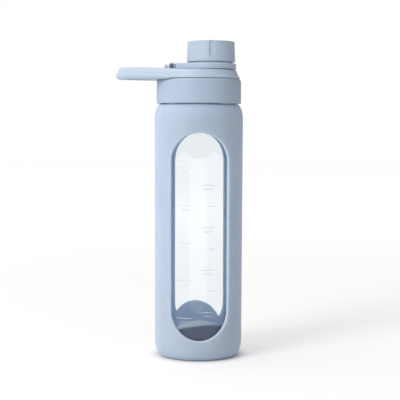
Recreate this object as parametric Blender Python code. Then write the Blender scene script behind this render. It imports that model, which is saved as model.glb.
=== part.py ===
"""Glass water bottle: silicone sleeve with two windows, screw lid, carry handle and a tethered cap.

Frame: metres, +Z up. The origin is on the bottle's axis, on the flat underside of the base.
+X points to the drinking spout, -X to the carry handle, and the sleeve's windows face -Y and +Y.
Every size below is in millimetres and is turned into metres where a mesh is written.
"""

import math

import bmesh
import bpy
from mathutils import Matrix

MM = 0.001
TURN = 2 * math.pi
GAP = 0.3
ROUND = 48
FINE = 36

# Sleeve
SLEEVE_R = 36.1
SLEEVE_FOOT_R = 29.2
SLEEVE_WALL = 2.6
SLEEVE_FLOOR = 3.0
SLEEVE_TOP = 205.8
SLEEVE_MOUTH_R = 28.6
SHOULDER_Z = 193.5
FOOT_ROUND_Z = 13.0
WINDOW_HALF = 23.2
WINDOW_LOW = 17.0
WINDOW_HIGH = 182.6
TAB_R = 24.3
TAB_Z = 15.5
TAB_TURN = math.radians(2.6)
BACK_TURN = math.radians(-3.1)

# Glass
GLASS_R = SLEEVE_R - SLEEVE_WALL - GAP
GLASS_WALL = 2.55
GLASS_FOOT = SLEEVE_FLOOR + GAP
GLASS_FLOOR = 7.2
PUNT_RISE = 1.3
NECK_R = 26.0
NECK_BORE_R = 23.4
MOUTH_Z = 221.5

# Thread
THREAD_LEAD = 9.0
THREAD_STARTS = 2
THREAD_Z = 209.6
RIDGE_ROOT = 1.05
RIDGE_CREST = 0.5
RIDGE_BURIED = 0.6
GLASS_RIDGE_R = 27.5
LID_RIDGE_R = 26.6
STEP_DEG = 9.0
THREAD_SKEW = math.radians(1.7)

# Lid
COLLAR_R = 34.4
COLLAR_BORE_R = 30.7
COLLAR_LOW = 206.5
COLLAR_TOP = 226.0
CORE_R = COLLAR_BORE_R - GAP
CORE_BORE_R = 28.2
CORE_LOW = 207.0
DECK_LOW = 223.3

# Handle and its shoulder ring
RING_R = 33.5
RING_LOW = COLLAR_TOP + GAP
RING_TOP = 233.2
PLATE_LOW = 229.8
RING_HOLLOW_R = 28.5
TIP_X = -67.7
TIP_R = 13.0
HANDLE_LOW = 225.2
HANDLE_LIFT = 2.0
HOLE_NEAR = -38.0
HOLE_FAR = -58.2
HOLE_HALF = 14.2

# Spout, hinge and cap
SPOUT_X = 9.8
SPOUT_R = 13.2
SPOUT_BORE_R = 11.2
SPOUT_TOP = 250.8
FLANGE_R = 17.8
SPOUT_LUG_R = 15.2
SPOUT_LUG_Z = (241.3, 243.8)
CAP_LUG_R = 14.4
CAP_LUG_Z = (238.3, 240.8)
LUG_HALF = math.radians(20)
PIN_X = -22.2
PIN_Z = 236.4
PIN_R = 1.0
KNUCKLE_R = 2.3
EAR_IN = 6.4
EAR_OUT = 9.3
TETHER_R = 20.5
TETHER_LOW = 233.9
TETHER_TOP = 238.9
CAP_R_LOW = 19.7
CAP_R_HIGH = 19.1
CAP_LOW = TETHER_TOP + GAP
CAP_TOP = 256.6
CAP_ROOF = 1.8
CAP_ROUND = 1.2
CAP_BORE_R = 17.6
LINER_R = CAP_BORE_R - GAP
LINER_BORE_R = 16.2
LINER_FLANGE_R = 18.6
LINER_LOW = 234.2
LINER_ROOF = 1.6
FLANGE_TOP = 235.6
SEAL_R = 15.6
GROOVES = 4
GROOVE_HALF = 2.0
GROOVE_DEPTH = 0.9
GROOVE_LOW = 244.3


def clear_scene():
    """Start from an empty scene."""
    for item in list(bpy.data.objects):
        bpy.data.objects.remove(item, do_unlink=True)


def finish(name, colour, roughness, metallic=0.0, transmission=0.0):
    """A Principled material with one colour."""
    made = bpy.data.materials.new(name)
    made.use_nodes = True
    shader = made.node_tree.nodes["Principled BSDF"]
    shader.inputs["Base Color"].default_value = (*colour, 1.0)
    shader.inputs["Roughness"].default_value = roughness
    shader.inputs["Metallic"].default_value = metallic
    shader.inputs["Transmission Weight"].default_value = transmission
    return made


def add_object(name, bm, material, origin=(0.0, 0.0, 0.0), smooth=40):
    """Put a bmesh in millimetres into the scene as one object whose origin is at the given place."""
    bmesh.ops.remove_doubles(bm, verts=bm.verts, dist=1e-4)
    bmesh.ops.recalc_face_normals(bm, faces=bm.faces)
    place = Matrix.Translation([-value for value in origin])
    bmesh.ops.transform(bm, matrix=Matrix.Scale(MM, 4) @ place, verts=bm.verts)
    mesh = bpy.data.meshes.new(name)
    bm.to_mesh(mesh)
    bm.free()
    mesh.materials.append(material)
    mesh.shade_smooth()
    mesh.set_sharp_from_angle(angle=math.radians(smooth))
    made = bpy.data.objects.new(name, mesh)
    made.location = [value * MM for value in origin]
    bpy.context.collection.objects.link(made)
    return made


def guide(name, bm, material):
    """A shape used only by a Boolean modifier of another piece."""
    made = add_object(name, bm, material)
    made.hide_render = True
    made.display_type = "WIRE"
    return made


def boolean(target, tool, operation):
    """Cut the tool from the target, or join it to the target."""
    modifier = target.modifiers.new(tool.name, "BOOLEAN")
    modifier.operation = operation
    modifier.object = tool
    modifier.solver = "EXACT"


def arc(centre, radii, start, end, steps):
    """Points of an elliptic arc in the (radius, height) plane, with angles in degrees."""
    points = []
    for index in range(steps + 1):
        angle = math.radians(start + (end - start) * index / steps)
        points.append((centre[0] + radii[0] * math.cos(angle), centre[1] + radii[1] * math.sin(angle)))
    return points


def turned(profile, centre=(0.0, 0.0), closed=True, steps=ROUND):
    """Spin a (radius, height) outline about a vertical axis. An open outline starts and ends on it."""
    bm = bmesh.new()
    verts = [bm.verts.new((radius, 0.0, height)) for radius, height in profile]
    pairs = list(zip(verts, verts[1:]))
    if closed:
        pairs.append((verts[-1], verts[0]))
    edges = [bm.edges.new(pair) for pair in pairs]
    bmesh.ops.spin(bm, geom=verts + edges, cent=(0, 0, 0), axis=(0, 0, 1), angle=TURN, steps=steps)
    bmesh.ops.remove_doubles(bm, verts=bm.verts, dist=1e-4)
    bmesh.ops.translate(bm, verts=bm.verts, vec=(centre[0], centre[1], 0.0))
    return bm


def cylinder(radius, low, high, centre=(0.0, 0.0), steps=ROUND):
    """A solid cylinder with a vertical axis."""
    return turned([(0.0, low), (radius, low), (radius, high), (0.0, high)], centre, False, steps)


def prism(outline, low, high):
    """Extrude a closed (x, y) outline from one height to another."""
    bm = bmesh.new()
    base = bm.faces.new([bm.verts.new((x, y, low)) for x, y in outline])
    grown = bmesh.ops.extrude_face_region(bm, geom=[base], use_keep_orig=True)
    top = [item for item in grown["geom"] if isinstance(item, bmesh.types.BMVert)]
    bmesh.ops.translate(bm, verts=top, vec=(0.0, 0.0, high - low))
    return bm


def side_prism(outline, low, high):
    """Extrude a closed (x, z) outline along Y, from one y to another."""
    bm = prism([(x, z) for x, z in outline], low, high)
    on_side = Matrix(((1, 0, 0, 0), (0, 0, 1, 0), (0, 1, 0, 0), (0, 0, 0, 1)))
    bmesh.ops.transform(bm, matrix=on_side, verts=bm.verts)
    return bm


def sector(inner, outer, low, high, middle, half, centre, steps=6):
    """A block between two radii and two heights, over an angle each side of its middle."""
    angles = [middle - half + 2 * half * index / steps for index in range(steps + 1)]
    outline = [(inner * math.cos(a), inner * math.sin(a)) for a in angles]
    outline += [(outer * math.cos(a), outer * math.sin(a)) for a in reversed(angles)]
    return prism([(x + centre[0], y + centre[1]) for x, y in outline], low, high)


def loft(rings):
    """A closed body through rings of points that each have the same count; both end rings are capped."""
    bm = bmesh.new()
    rows = [[bm.verts.new(point) for point in ring] for ring in rings]
    for lower, upper in zip(rows, rows[1:]):
        for index in range(len(lower)):
            after = (index + 1) % len(lower)
            bm.faces.new((lower[index], lower[after], upper[after], upper[index]))
    bm.faces.new(rows[0])
    bm.faces.new(rows[-1])
    return bm


def ridge(wall_r, crest_r, start, turns, rise):
    """One helical thread ridge, buried in the wall, with both ends run out to nothing."""
    count = int(round(turns * 360 / STEP_DEG))
    inward = 1.0 if crest_r > wall_r else -1.0
    root = wall_r - inward * RIDGE_BURIED
    rings = []
    for index in range(count + 1):
        angle = start + math.radians(STEP_DEG) * index
        fade = min(1.0, index / 3, (count - index) / 3)
        crest = wall_r - inward * 0.3 + (crest_r - wall_r + inward * 0.3) * fade
        middle = rise + THREAD_LEAD * angle / TURN
        section = ((root, -RIDGE_ROOT), (crest, -RIDGE_CREST), (crest, RIDGE_CREST), (root, RIDGE_ROOT))
        rings.append([(r * math.cos(angle), r * math.sin(angle), middle + z) for r, z in section])
    return loft(rings)


def radial_cutter(levels, near, far):
    """A cutter through the front wall: each level is (height, left x, right x) on the sleeve's surface."""
    rings = []
    for height, left, right in levels:
        ring = []
        for x, radius in ((left, near), (right, near), (right, far), (left, far)):
            angle = math.asin(x / SLEEVE_R)
            ring.append((radius * math.sin(angle), -radius * math.cos(angle), height))
        rings.append(ring)
    return loft(rings)


def window_levels(steps=9):
    """The window's outline: straight sides with a half circle at each end."""
    low = WINDOW_LOW + WINDOW_HALF
    high = WINDOW_HIGH - WINDOW_HALF
    levels = []
    for index in range(steps + 1):
        angle = math.radians(-86 + 86 * index / steps)
        levels.append((low + WINDOW_HALF * math.sin(angle), WINDOW_HALF * math.cos(angle)))
    for index in range(steps + 1):
        angle = math.radians(86 * index / steps)
        levels.append((high + WINDOW_HALF * math.sin(angle), WINDOW_HALF * math.cos(angle)))
    return [(height, -half, half) for height, half in levels]


def tab_levels(steps=12):
    """The round tab that stands up in the back window."""
    levels = []
    for index in range(steps + 1):
        angle = math.radians(-86 + 172 * index / steps)
        half = TAB_R * math.cos(angle)
        levels.append((TAB_Z + TAB_R * math.sin(angle), -half, half))
    return levels


def glass_bottle(material):
    """The blown glass body with its thread."""
    inner = GLASS_R - GLASS_WALL
    outline = [(0.0, GLASS_FOOT + PUNT_RISE), (12.0, GLASS_FOOT + 0.75 * PUNT_RISE), (20.0, GLASS_FOOT)]
    outline += arc((27.4, GLASS_FOOT + 9.5), (GLASS_R - 27.4, 9.5), -90, 0, 4)
    outline += arc((28.3, 190.5), (GLASS_R - 28.3, 11.5), 0, 90, 5)
    outline += [(26.8, 203.2), (NECK_R, 205.2), (NECK_R, MOUTH_Z - 0.8), (NECK_R - 0.8, MOUTH_Z)]
    outline += [(NECK_BORE_R + 0.6, MOUTH_Z), (NECK_BORE_R, MOUTH_Z - 0.6), (NECK_BORE_R, 202.6)]
    outline += arc((25.0, 188.0), (inner - 25.0, 11.8), 70, 0, 4)
    outline += arc((inner - 11.0, GLASS_FLOOR + 12.0), (11.0, 12.0), 0, -90, 5)
    outline += [(10.0, GLASS_FLOOR + 0.7 * PUNT_RISE), (0.0, GLASS_FLOOR + PUNT_RISE)]
    body = add_object("glass_bottle", turned(outline, closed=False), material)
    for start in range(THREAD_STARTS):
        angle = THREAD_SKEW + start * TURN / THREAD_STARTS
        rise = THREAD_Z - THREAD_LEAD * start / THREAD_STARTS
        tool = guide(f"glass_ridge_{start}", ridge(NECK_R, GLASS_RIDGE_R, angle, 0.75, rise), material)
        boolean(body, tool, "UNION")


def silicone_sleeve(material):
    """The moulded sleeve, open at the neck, with a window at the front and one at the back."""
    outer = SLEEVE_R
    inner = SLEEVE_R - SLEEVE_WALL
    outline = [(0.0, 0.0), (20.5, 0.0), (20.5, 0.8), (23.0, 0.8), (23.0, 0.0)]
    outline += arc((SLEEVE_FOOT_R, FOOT_ROUND_Z), (outer - 0.4 - SLEEVE_FOOT_R, FOOT_ROUND_Z), -90, 0, 5)
    outline += arc((31.2, SHOULDER_Z), (outer - 31.2, SLEEVE_TOP - SHOULDER_Z), 0, 90, 6)
    outline += [(SLEEVE_MOUTH_R + 0.4, SLEEVE_TOP), (SLEEVE_MOUTH_R, SLEEVE_TOP - 0.4)]
    outline += arc((SLEEVE_MOUTH_R, 191.0), (inner - SLEEVE_MOUTH_R, 11.6), 90, 0, 4)
    outline += arc((27.5, SLEEVE_FLOOR + 9.5), (inner - 27.5, 9.5), 0, -90, 4)
    outline += [(0.0, SLEEVE_FLOOR)]
    body = add_object("silicone_sleeve", turned(outline, closed=False), material)
    front = guide("front_window", radial_cutter(window_levels(), 29.0, 52.0), material)
    back = guide("back_window", radial_cutter(window_levels(), 29.0, 52.0), material)
    back.rotation_euler.z = math.pi + BACK_TURN
    tab = guide("window_tab", radial_cutter(tab_levels(), 27.0, 56.0), material)
    tab.rotation_euler.z = math.pi + TAB_TURN
    boolean(back, tab, "DIFFERENCE")
    boolean(body, front, "DIFFERENCE")
    boolean(body, back, "DIFFERENCE")


def lid_collar(material):
    """The lid's outer skirt, pressed over the threaded core."""
    outline = [(COLLAR_BORE_R, COLLAR_LOW + 0.4), (COLLAR_BORE_R + 0.4, COLLAR_LOW)]
    outline += [(COLLAR_R - 0.5, COLLAR_LOW), (COLLAR_R, COLLAR_LOW + 0.5)]
    outline += arc((COLLAR_R - 2.2, COLLAR_TOP - 2.2), (2.2, 2.2), 0, 90, 5)
    outline += [(COLLAR_BORE_R, COLLAR_TOP)]
    add_object("lid_collar", turned(outline), material)


def lid_core(material):
    """The inner lid: a threaded skirt and a deck with the drinking hole in it."""
    outline = [(0.0, DECK_LOW), (CORE_BORE_R, DECK_LOW), (CORE_BORE_R, CORE_LOW + 0.5)]
    outline += [(CORE_BORE_R + 0.5, CORE_LOW), (CORE_R - 0.5, CORE_LOW), (CORE_R, CORE_LOW + 0.5)]
    outline += [(CORE_R, COLLAR_TOP), (0.0, COLLAR_TOP)]
    body = add_object("lid_core", turned(outline, closed=False), material)
    for start in range(THREAD_STARTS):
        angle = THREAD_SKEW + math.radians(101.25) + start * TURN / THREAD_STARTS
        rise = THREAD_Z - THREAD_LEAD / (2 * THREAD_STARTS) - THREAD_LEAD * start / THREAD_STARTS
        tool = guide(f"lid_ridge_{start}", ridge(CORE_BORE_R, LID_RIDGE_R, angle, 0.45, rise), material)
        boolean(body, tool, "UNION")
    hole = cylinder(SPOUT_BORE_R, DECK_LOW - 1, COLLAR_TOP + 1, (SPOUT_X, 0.0), FINE)
    boolean(body, guide("core_hole", hole, material), "DIFFERENCE")


def lid_gasket(material):
    """The soft ring between the glass mouth and the lid's deck."""
    low = MOUTH_Z + GAP
    high = DECK_LOW - GAP
    outline = [(22.6, low), (27.4, low), (27.8, low + 0.4), (27.8, high), (22.6, high)]
    add_object("lid_gasket", turned(outline), material)


def teardrop(inset, steps=36):
    """The handle's plan: the ring's circle and the tip's circle with their common tangents."""
    tip_centre = TIP_X + TIP_R
    lean = math.asin((RING_R - TIP_R) / -tip_centre)
    points = []
    for index in range(steps + 1):
        angle = -(math.pi / 2 + lean) + (math.pi + 2 * lean) * index / steps
        radius = RING_R - inset
        points.append((radius * math.cos(angle), radius * math.sin(angle)))
    for index in range(steps // 2 + 1):
        angle = (math.pi / 2 + lean) + (math.pi - 2 * lean) * index / (steps // 2)
        radius = TIP_R - inset
        points.append((tip_centre + radius * math.cos(angle), radius * math.sin(angle)))
    return points


def lifted(points, height, share):
    """Give a plan its height, rising by the handle's lift towards the tip."""
    ring = []
    for x, y in points:
        part = min(1.0, max(0.0, (-x - 10.0) / 40.0))
        ring.append((x, y, height + share * HANDLE_LIFT * part * part * (3 - 2 * part)))
    return ring


def finger_hole(grow, steps=28):
    """The plan of the finger hole: a rounded D, wider at the ring than at the tip."""
    middle = (HOLE_NEAR + HOLE_FAR) / 2
    half = (HOLE_NEAR - HOLE_FAR) / 2 + grow
    points = []
    for index in range(steps):
        angle = TURN * index / steps
        c, s = math.cos(angle), math.sin(angle)
        x = math.copysign(abs(c) ** (2 / 2.8), c)
        y = math.copysign(abs(s) ** (2 / 2.8), s)
        points.append((middle + half * x, (HOLE_HALF + grow) * y * (0.8 + 0.2 * x)))
    return points


def carry_handle(material):
    """The shoulder ring and the carry loop in one moulding, with the hinge's ears and stop."""
    shape = ((HANDLE_LOW, 4.4, 0.2), (HANDLE_LOW + 0.7, 1.3, 0.4), (226.8, 0.0, 1.0), (230.3, 2.1, 1.0),
             (RING_TOP, 3.3, 1.0))
    rings = [lifted(teardrop(inset), z, share) for z, inset, share in shape]
    body = add_object("carry_handle", loft(rings), material)
    hole = ((222.0, 3.6), (226.0, 1.2), (228.0, 0.0), (233.2, 0.0), (238.0, 2.4))
    rings = [[(x, y, z) for x, y in finger_hole(grow)] for z, grow in hole]
    boolean(body, guide("finger_hole", loft(rings), material), "DIFFERENCE")
    for side, sign in (("front", -1), ("back", 1)):
        outline = [(PIN_X - KNUCKLE_R, 231.5), (PIN_X + KNUCKLE_R, 231.5)]
        outline += arc((PIN_X, PIN_Z), (KNUCKLE_R, KNUCKLE_R), 0, 180, 10)
        ends = sorted((sign * EAR_IN, sign * EAR_OUT))
        boolean(body, guide(f"ear_{side}", side_prism(outline, *ends), material), "UNION")
    stop = [(-28.6, 231.5), (-25.3, 231.5), (-25.3, 236.0), (-26.2, 238.1), (-26.8, 238.1), (-28.4, 235.6)]
    boolean(body, guide("hinge_stop", side_prism(stop, -EAR_OUT, EAR_OUT), material), "UNION")
    seat = cylinder(COLLAR_R + 0.4, 215.0, RING_LOW)
    boolean(body, guide("collar_seat", seat, material), "DIFFERENCE")
    boolean(body, guide("ring_hollow", cylinder(RING_HOLLOW_R, 220.0, PLATE_LOW), material), "DIFFERENCE")
    pass_through = cylinder(SPOUT_R + GAP, 220.0, 240.0, (SPOUT_X, 0.0), FINE)
    boolean(body, guide("spout_pass", pass_through, material), "DIFFERENCE")
    bore = side_prism(arc((PIN_X, PIN_Z), (PIN_R + GAP, PIN_R + GAP), 0, 337.5, 15), -12.0, 12.0)
    boolean(body, guide("pin_bore", bore, material), "DIFFERENCE")


def hinge_pin(material):
    """The pin that the cap's tether turns on."""
    pin = side_prism(arc((PIN_X, PIN_Z), (PIN_R, PIN_R), 0, 337.5, 15), -EAR_OUT + 0.1, EAR_OUT - 0.1)
    add_object("hinge_pin", pin, material, (PIN_X, 0.0, PIN_Z))


def drinking_spout(material):
    """The spout with its clamped flange and the two lugs that lock the cap."""
    centre = (SPOUT_X, 0.0)
    outline = [(SPOUT_BORE_R, COLLAR_TOP + GAP), (FLANGE_R, COLLAR_TOP + GAP), (FLANGE_R, PLATE_LOW - GAP)]
    outline += [(SPOUT_R, PLATE_LOW - GAP), (SPOUT_R, SPOUT_TOP - 0.9)]
    outline += arc((SPOUT_R - 0.9, SPOUT_TOP - 0.9), (0.9, 0.9), 30, 90, 2)
    outline += arc((SPOUT_BORE_R + 0.6, SPOUT_TOP - 0.6), (0.6, 0.6), 90, 180, 2)
    body = add_object("drinking_spout", turned(outline, centre, steps=FINE), material)
    for side, middle in (("right", 0.0), ("left", math.pi)):
        lug = sector(SPOUT_R - 0.8, SPOUT_LUG_R, *SPOUT_LUG_Z, middle, LUG_HALF, centre)
        boolean(body, guide(f"spout_lug_{side}", lug, material), "UNION")


def tether_plan(steps=28):
    """The tether seen from above: its ring, with tangents to the wide end of the arm."""
    near = PIN_X + KNUCKLE_R + 0.7
    reach = math.hypot(near - SPOUT_X, EAR_OUT)
    corner = math.atan2(EAR_OUT, near - SPOUT_X)
    touch = corner - math.acos(TETHER_R / reach)
    points = [(near, EAR_OUT), (near, -EAR_OUT)]
    for index in range(steps + 1):
        angle = -touch + 2 * touch * index / steps
        points.append((SPOUT_X + TETHER_R * math.cos(angle), TETHER_R * math.sin(angle)))
    return points


def cap_tether(material):
    """The ring under the cap with the arm and knuckle that turn on the hinge pin."""
    origin = (PIN_X, 0.0, PIN_Z)
    body = add_object("cap_tether", prism(tether_plan(), TETHER_LOW, TETHER_TOP), material, origin)
    half = EAR_IN - GAP
    outline = arc((PIN_X, PIN_Z), (KNUCKLE_R, KNUCKLE_R), 92, 268, 10)
    outline += [(PIN_X + KNUCKLE_R + 3.0, PIN_Z - KNUCKLE_R), (PIN_X + KNUCKLE_R + 3.0, PIN_Z + KNUCKLE_R)]
    boolean(body, guide("knuckle", side_prism(outline, -half, half), material), "UNION")
    upper = cylinder(LINER_R + GAP, 230.0, 245.0, (SPOUT_X, 0.0), FINE)
    boolean(body, guide("tether_bore", upper, material), "DIFFERENCE")
    lower = cylinder(LINER_FLANGE_R + GAP, 230.0, 235.9, (SPOUT_X, 0.0), FINE)
    boolean(body, guide("tether_recess", lower, material), "DIFFERENCE")
    bore = side_prism(arc((PIN_X, PIN_Z), (PIN_R + GAP, PIN_R + GAP), 0, 337.5, 15), -12.0, 12.0)
    boolean(body, guide("knuckle_bore", bore, material), "DIFFERENCE")


def cap_shell(material):
    """The cap that is gripped, with grip grooves cut down from its top edge."""
    centre = (SPOUT_X, 0.0)
    roof = CAP_TOP - CAP_ROOF
    outline = [(0.0, roof), (CAP_BORE_R, roof), (CAP_BORE_R, CAP_LOW)]
    outline += [(CAP_R_LOW - 0.4, CAP_LOW), (CAP_R_LOW, CAP_LOW + 0.4)]
    outline += arc((CAP_R_HIGH - CAP_ROUND, CAP_TOP - CAP_ROUND), (CAP_ROUND, CAP_ROUND), 0, 90, 4)
    outline += [(0.0, CAP_TOP)]
    body = add_object("cap_shell", turned(outline, centre, False), material, (SPOUT_X, 0.0, 0.0))
    for index in range(GROOVES):
        middle = -math.pi / 2 + TURN * index / GROOVES
        half = GROOVE_HALF / CAP_R_HIGH
        floor = CAP_R_HIGH - GROOVE_DEPTH
        cut = sector(floor, CAP_R_HIGH + 3, GROOVE_LOW, CAP_TOP + 2, middle, half, centre, 2)
        boolean(body, guide(f"grip_groove_{index}", cut, material), "DIFFERENCE")


def cap_liner(material):
    """The cap's inner cup: it turns in the tether ring and carries the two locking lugs."""
    centre = (SPOUT_X, 0.0)
    roof = CAP_TOP - CAP_ROOF - GAP
    inside = roof - LINER_ROOF
    outline = [(0.0, inside), (LINER_BORE_R, inside), (LINER_BORE_R, LINER_LOW)]
    outline += [(LINER_FLANGE_R, LINER_LOW), (LINER_FLANGE_R, FLANGE_TOP), (LINER_R, FLANGE_TOP)]
    outline += [(LINER_R, roof), (0.0, roof)]
    body = add_object("cap_liner", turned(outline, centre, False, FINE), material, (SPOUT_X, 0.0, 0.0))
    for side, middle in (("front", -math.pi / 2), ("back", math.pi / 2)):
        lug = sector(CAP_LUG_R, LINER_BORE_R + 0.6, *CAP_LUG_Z, middle, LUG_HALF, centre)
        boolean(body, guide(f"cap_lug_{side}", lug, material), "UNION")


def cap_seal(material):
    """The soft disc that closes the spout, with a bead that meets its rim."""
    roof = CAP_TOP - CAP_ROOF - LINER_ROOF - 2 * GAP
    low = SPOUT_TOP + GAP
    outline = [(0.0, roof), (SEAL_R, roof), (SEAL_R, low + 0.3), (SEAL_R - 0.3, low), (0.0, low)]
    outline.reverse()
    add_object("cap_seal", turned(outline, (SPOUT_X, 0.0), False, FINE), material, (SPOUT_X, 0.0, 0.0))


def main():
    """Build every sub-part in place."""
    clear_scene()
    silicone = finish("silicone", (0.50, 0.60, 0.74), 0.6)
    plastic = finish("lid_plastic", (0.53, 0.63, 0.76), 0.45)
    inner = finish("inner_plastic", (0.72, 0.76, 0.80), 0.4)
    seal = finish("seal_silicone", (0.80, 0.82, 0.84), 0.55)
    glass = finish("clear_glass", (0.95, 0.97, 0.97), 0.02, transmission=1.0)
    glass_bottle(glass)
    silicone_sleeve(silicone)
    lid_collar(plastic)
    lid_core(inner)
    lid_gasket(seal)
    drinking_spout(plastic)
    carry_handle(plastic)
    hinge_pin(plastic)
    cap_tether(plastic)
    cap_shell(plastic)
    cap_liner(inner)
    cap_seal(seal)


main()
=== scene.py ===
"""Looks of a glass water bottle in a windowed silicone sleeve, with a screw lid and a tethered cap.

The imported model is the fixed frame: metres, +Z up, origin under the base on the bottle's axis, +X to
the spout, -X to the carry handle, sleeve windows at -Y and +Y. Each visible surface is worked out with
numpy as a function of two parameters. Sizes in this file are millimetres, and become metres when a
mesh is written.
"""

from __future__ import annotations

import logging
import math
from dataclasses import dataclass, replace
from enum import Enum
from functools import lru_cache
from typing import Callable, Sequence

import bmesh
import bpy
import numpy as np
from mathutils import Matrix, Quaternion, Vector


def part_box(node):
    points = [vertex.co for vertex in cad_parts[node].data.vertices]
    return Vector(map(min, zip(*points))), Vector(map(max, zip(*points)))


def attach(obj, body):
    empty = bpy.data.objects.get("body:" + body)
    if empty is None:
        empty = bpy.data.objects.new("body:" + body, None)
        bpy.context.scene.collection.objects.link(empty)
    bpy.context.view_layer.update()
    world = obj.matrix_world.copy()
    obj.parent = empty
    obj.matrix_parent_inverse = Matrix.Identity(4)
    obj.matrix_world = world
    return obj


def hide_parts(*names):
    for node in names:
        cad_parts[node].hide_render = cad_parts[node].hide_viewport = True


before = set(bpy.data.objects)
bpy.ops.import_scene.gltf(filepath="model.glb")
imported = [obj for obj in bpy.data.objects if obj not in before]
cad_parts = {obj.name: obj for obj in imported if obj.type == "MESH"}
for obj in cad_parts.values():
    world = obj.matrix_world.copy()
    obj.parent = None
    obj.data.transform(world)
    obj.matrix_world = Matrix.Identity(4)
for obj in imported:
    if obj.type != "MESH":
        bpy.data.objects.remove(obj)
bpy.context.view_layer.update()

MM = 0.001
TURN = 2.0 * math.pi
WELD = 2e-7
log = logging.getLogger("bottle")

Pair = tuple[float, float]
Triple = tuple[float, float, float]
Colour = tuple[float, float, float]
Dent = Callable[[np.ndarray, np.ndarray, np.ndarray], np.ndarray]


class Body(Enum):
    """The rigid bodies of the frame that pieces ride on."""

    BOTTLE = "bottle"
    SEAL = "lid_seal"
    LID = "lid"
    TETHER = "tether"
    CAP = "cap"


class Slot(Enum):
    """The record's material slots."""

    GLASS = "clear_glass"
    SLEEVE = "sleeve_silicone"
    LID = "lid_plastic"
    INNER = "inner_plastic"
    SEAL = "seal_silicone"


# ---------------------------------------------------------------------------------------------------
# Shader expressions
# ---------------------------------------------------------------------------------------------------


class Term:
    """One number socket of a node tree, so that shader maths reads as an expression."""

    def __init__(self, graph: "Graph", socket: bpy.types.NodeSocket) -> None:
        """Wrap a socket of a graph."""
        self.graph = graph
        self.socket = socket

    def _maths(self, operation: str, first: object, second: object = 0.0) -> "Term":
        """Add a Math node.

        Args:
            operation: Blender's name of the operation.
            first: a number or a Term.
            second: a number or a Term.

        Returns:
            The node's result.
        """
        return self.graph.term("ShaderNodeMath", {"operation": operation}, {0: first, 1: second})

    def __add__(self, other: object) -> "Term":
        """self + other"""
        return self._maths("ADD", self, other)

    __radd__ = __add__

    def __sub__(self, other: object) -> "Term":
        """self - other"""
        return self._maths("SUBTRACT", self, other)

    def __rsub__(self, other: object) -> "Term":
        """other - self"""
        return self._maths("SUBTRACT", other, self)

    def __mul__(self, other: object) -> "Term":
        """self * other"""
        return self._maths("MULTIPLY", self, other)

    __rmul__ = __mul__

    def __truediv__(self, other: object) -> "Term":
        """self / other"""
        return self._maths("DIVIDE", self, other)

    def __rtruediv__(self, other: object) -> "Term":
        """other / self"""
        return self._maths("DIVIDE", other, self)

    def __pow__(self, other: object) -> "Term":
        """self ** other"""
        return self._maths("POWER", self, other)

    def at_least(self, low: object) -> "Term":
        """self, or low where that is more"""
        return self._maths("MAXIMUM", self, low)

    def below(self, high: float) -> "Term":
        """1 where self is less than high, else 0"""
        return self._maths("LESS_THAN", self, high)

    def between(self, low: float, high: float, ramp: str = "SMOOTHSTEP") -> "Term":
        """0 at or past low, 1 at or past high, and between them a smooth step or a LINEAR one."""
        ends = {"Value": self, "From Min": low, "From Max": high}
        return self.graph.term("ShaderNodeMapRange", {"interpolation_type": ramp}, ends)


class Graph:
    """A node tree, filled in by expressions."""

    def __init__(self, tree: bpy.types.NodeTree) -> None:
        """Work on a node tree."""
        self.tree = tree

    def node(self, kind: str, settings: dict | None = None, sockets: dict | None = None) -> bpy.types.Node:
        """Add a node.

        Args:
            kind: the node's type.
            settings: its own settings, set first.
            sockets: values or links of its inputs, by name or number.

        Returns:
            The node.
        """
        made = self.tree.nodes.new(kind)
        for key, value in (settings or {}).items():
            setattr(made, key, value)
        for key, value in (sockets or {}).items():
            self.feed(made.inputs[key], value)
        return made

    def feed(self, socket: bpy.types.NodeSocket, value: object) -> None:
        """Link a Term or a socket to an input, or set the input's own value; a colour is made opaque."""
        if isinstance(value, Term):
            value = value.socket
        if isinstance(value, bpy.types.NodeSocket):
            self.tree.links.new(value, socket)
        elif socket.type == "RGBA":
            socket.default_value = (*value, 1.0)
        else:
            socket.default_value = value

    def term(self, kind: str, settings: dict | None = None, sockets: dict | None = None,
             out: str | int = 0) -> Term:
        """Add a node and return one of its outputs as a Term."""
        return Term(self, self.node(kind, settings, sockets).outputs[out])

    def mix(self, factor: object, first: object, second: object) -> bpy.types.NodeSocket:
        """Mix two colours, each a colour or a colour socket: the first at factor 0, the second at 1."""
        return self.node("ShaderNodeMix", {"data_type": "RGBA"}, {0: factor, 6: first, 7: second}).outputs[2]


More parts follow.
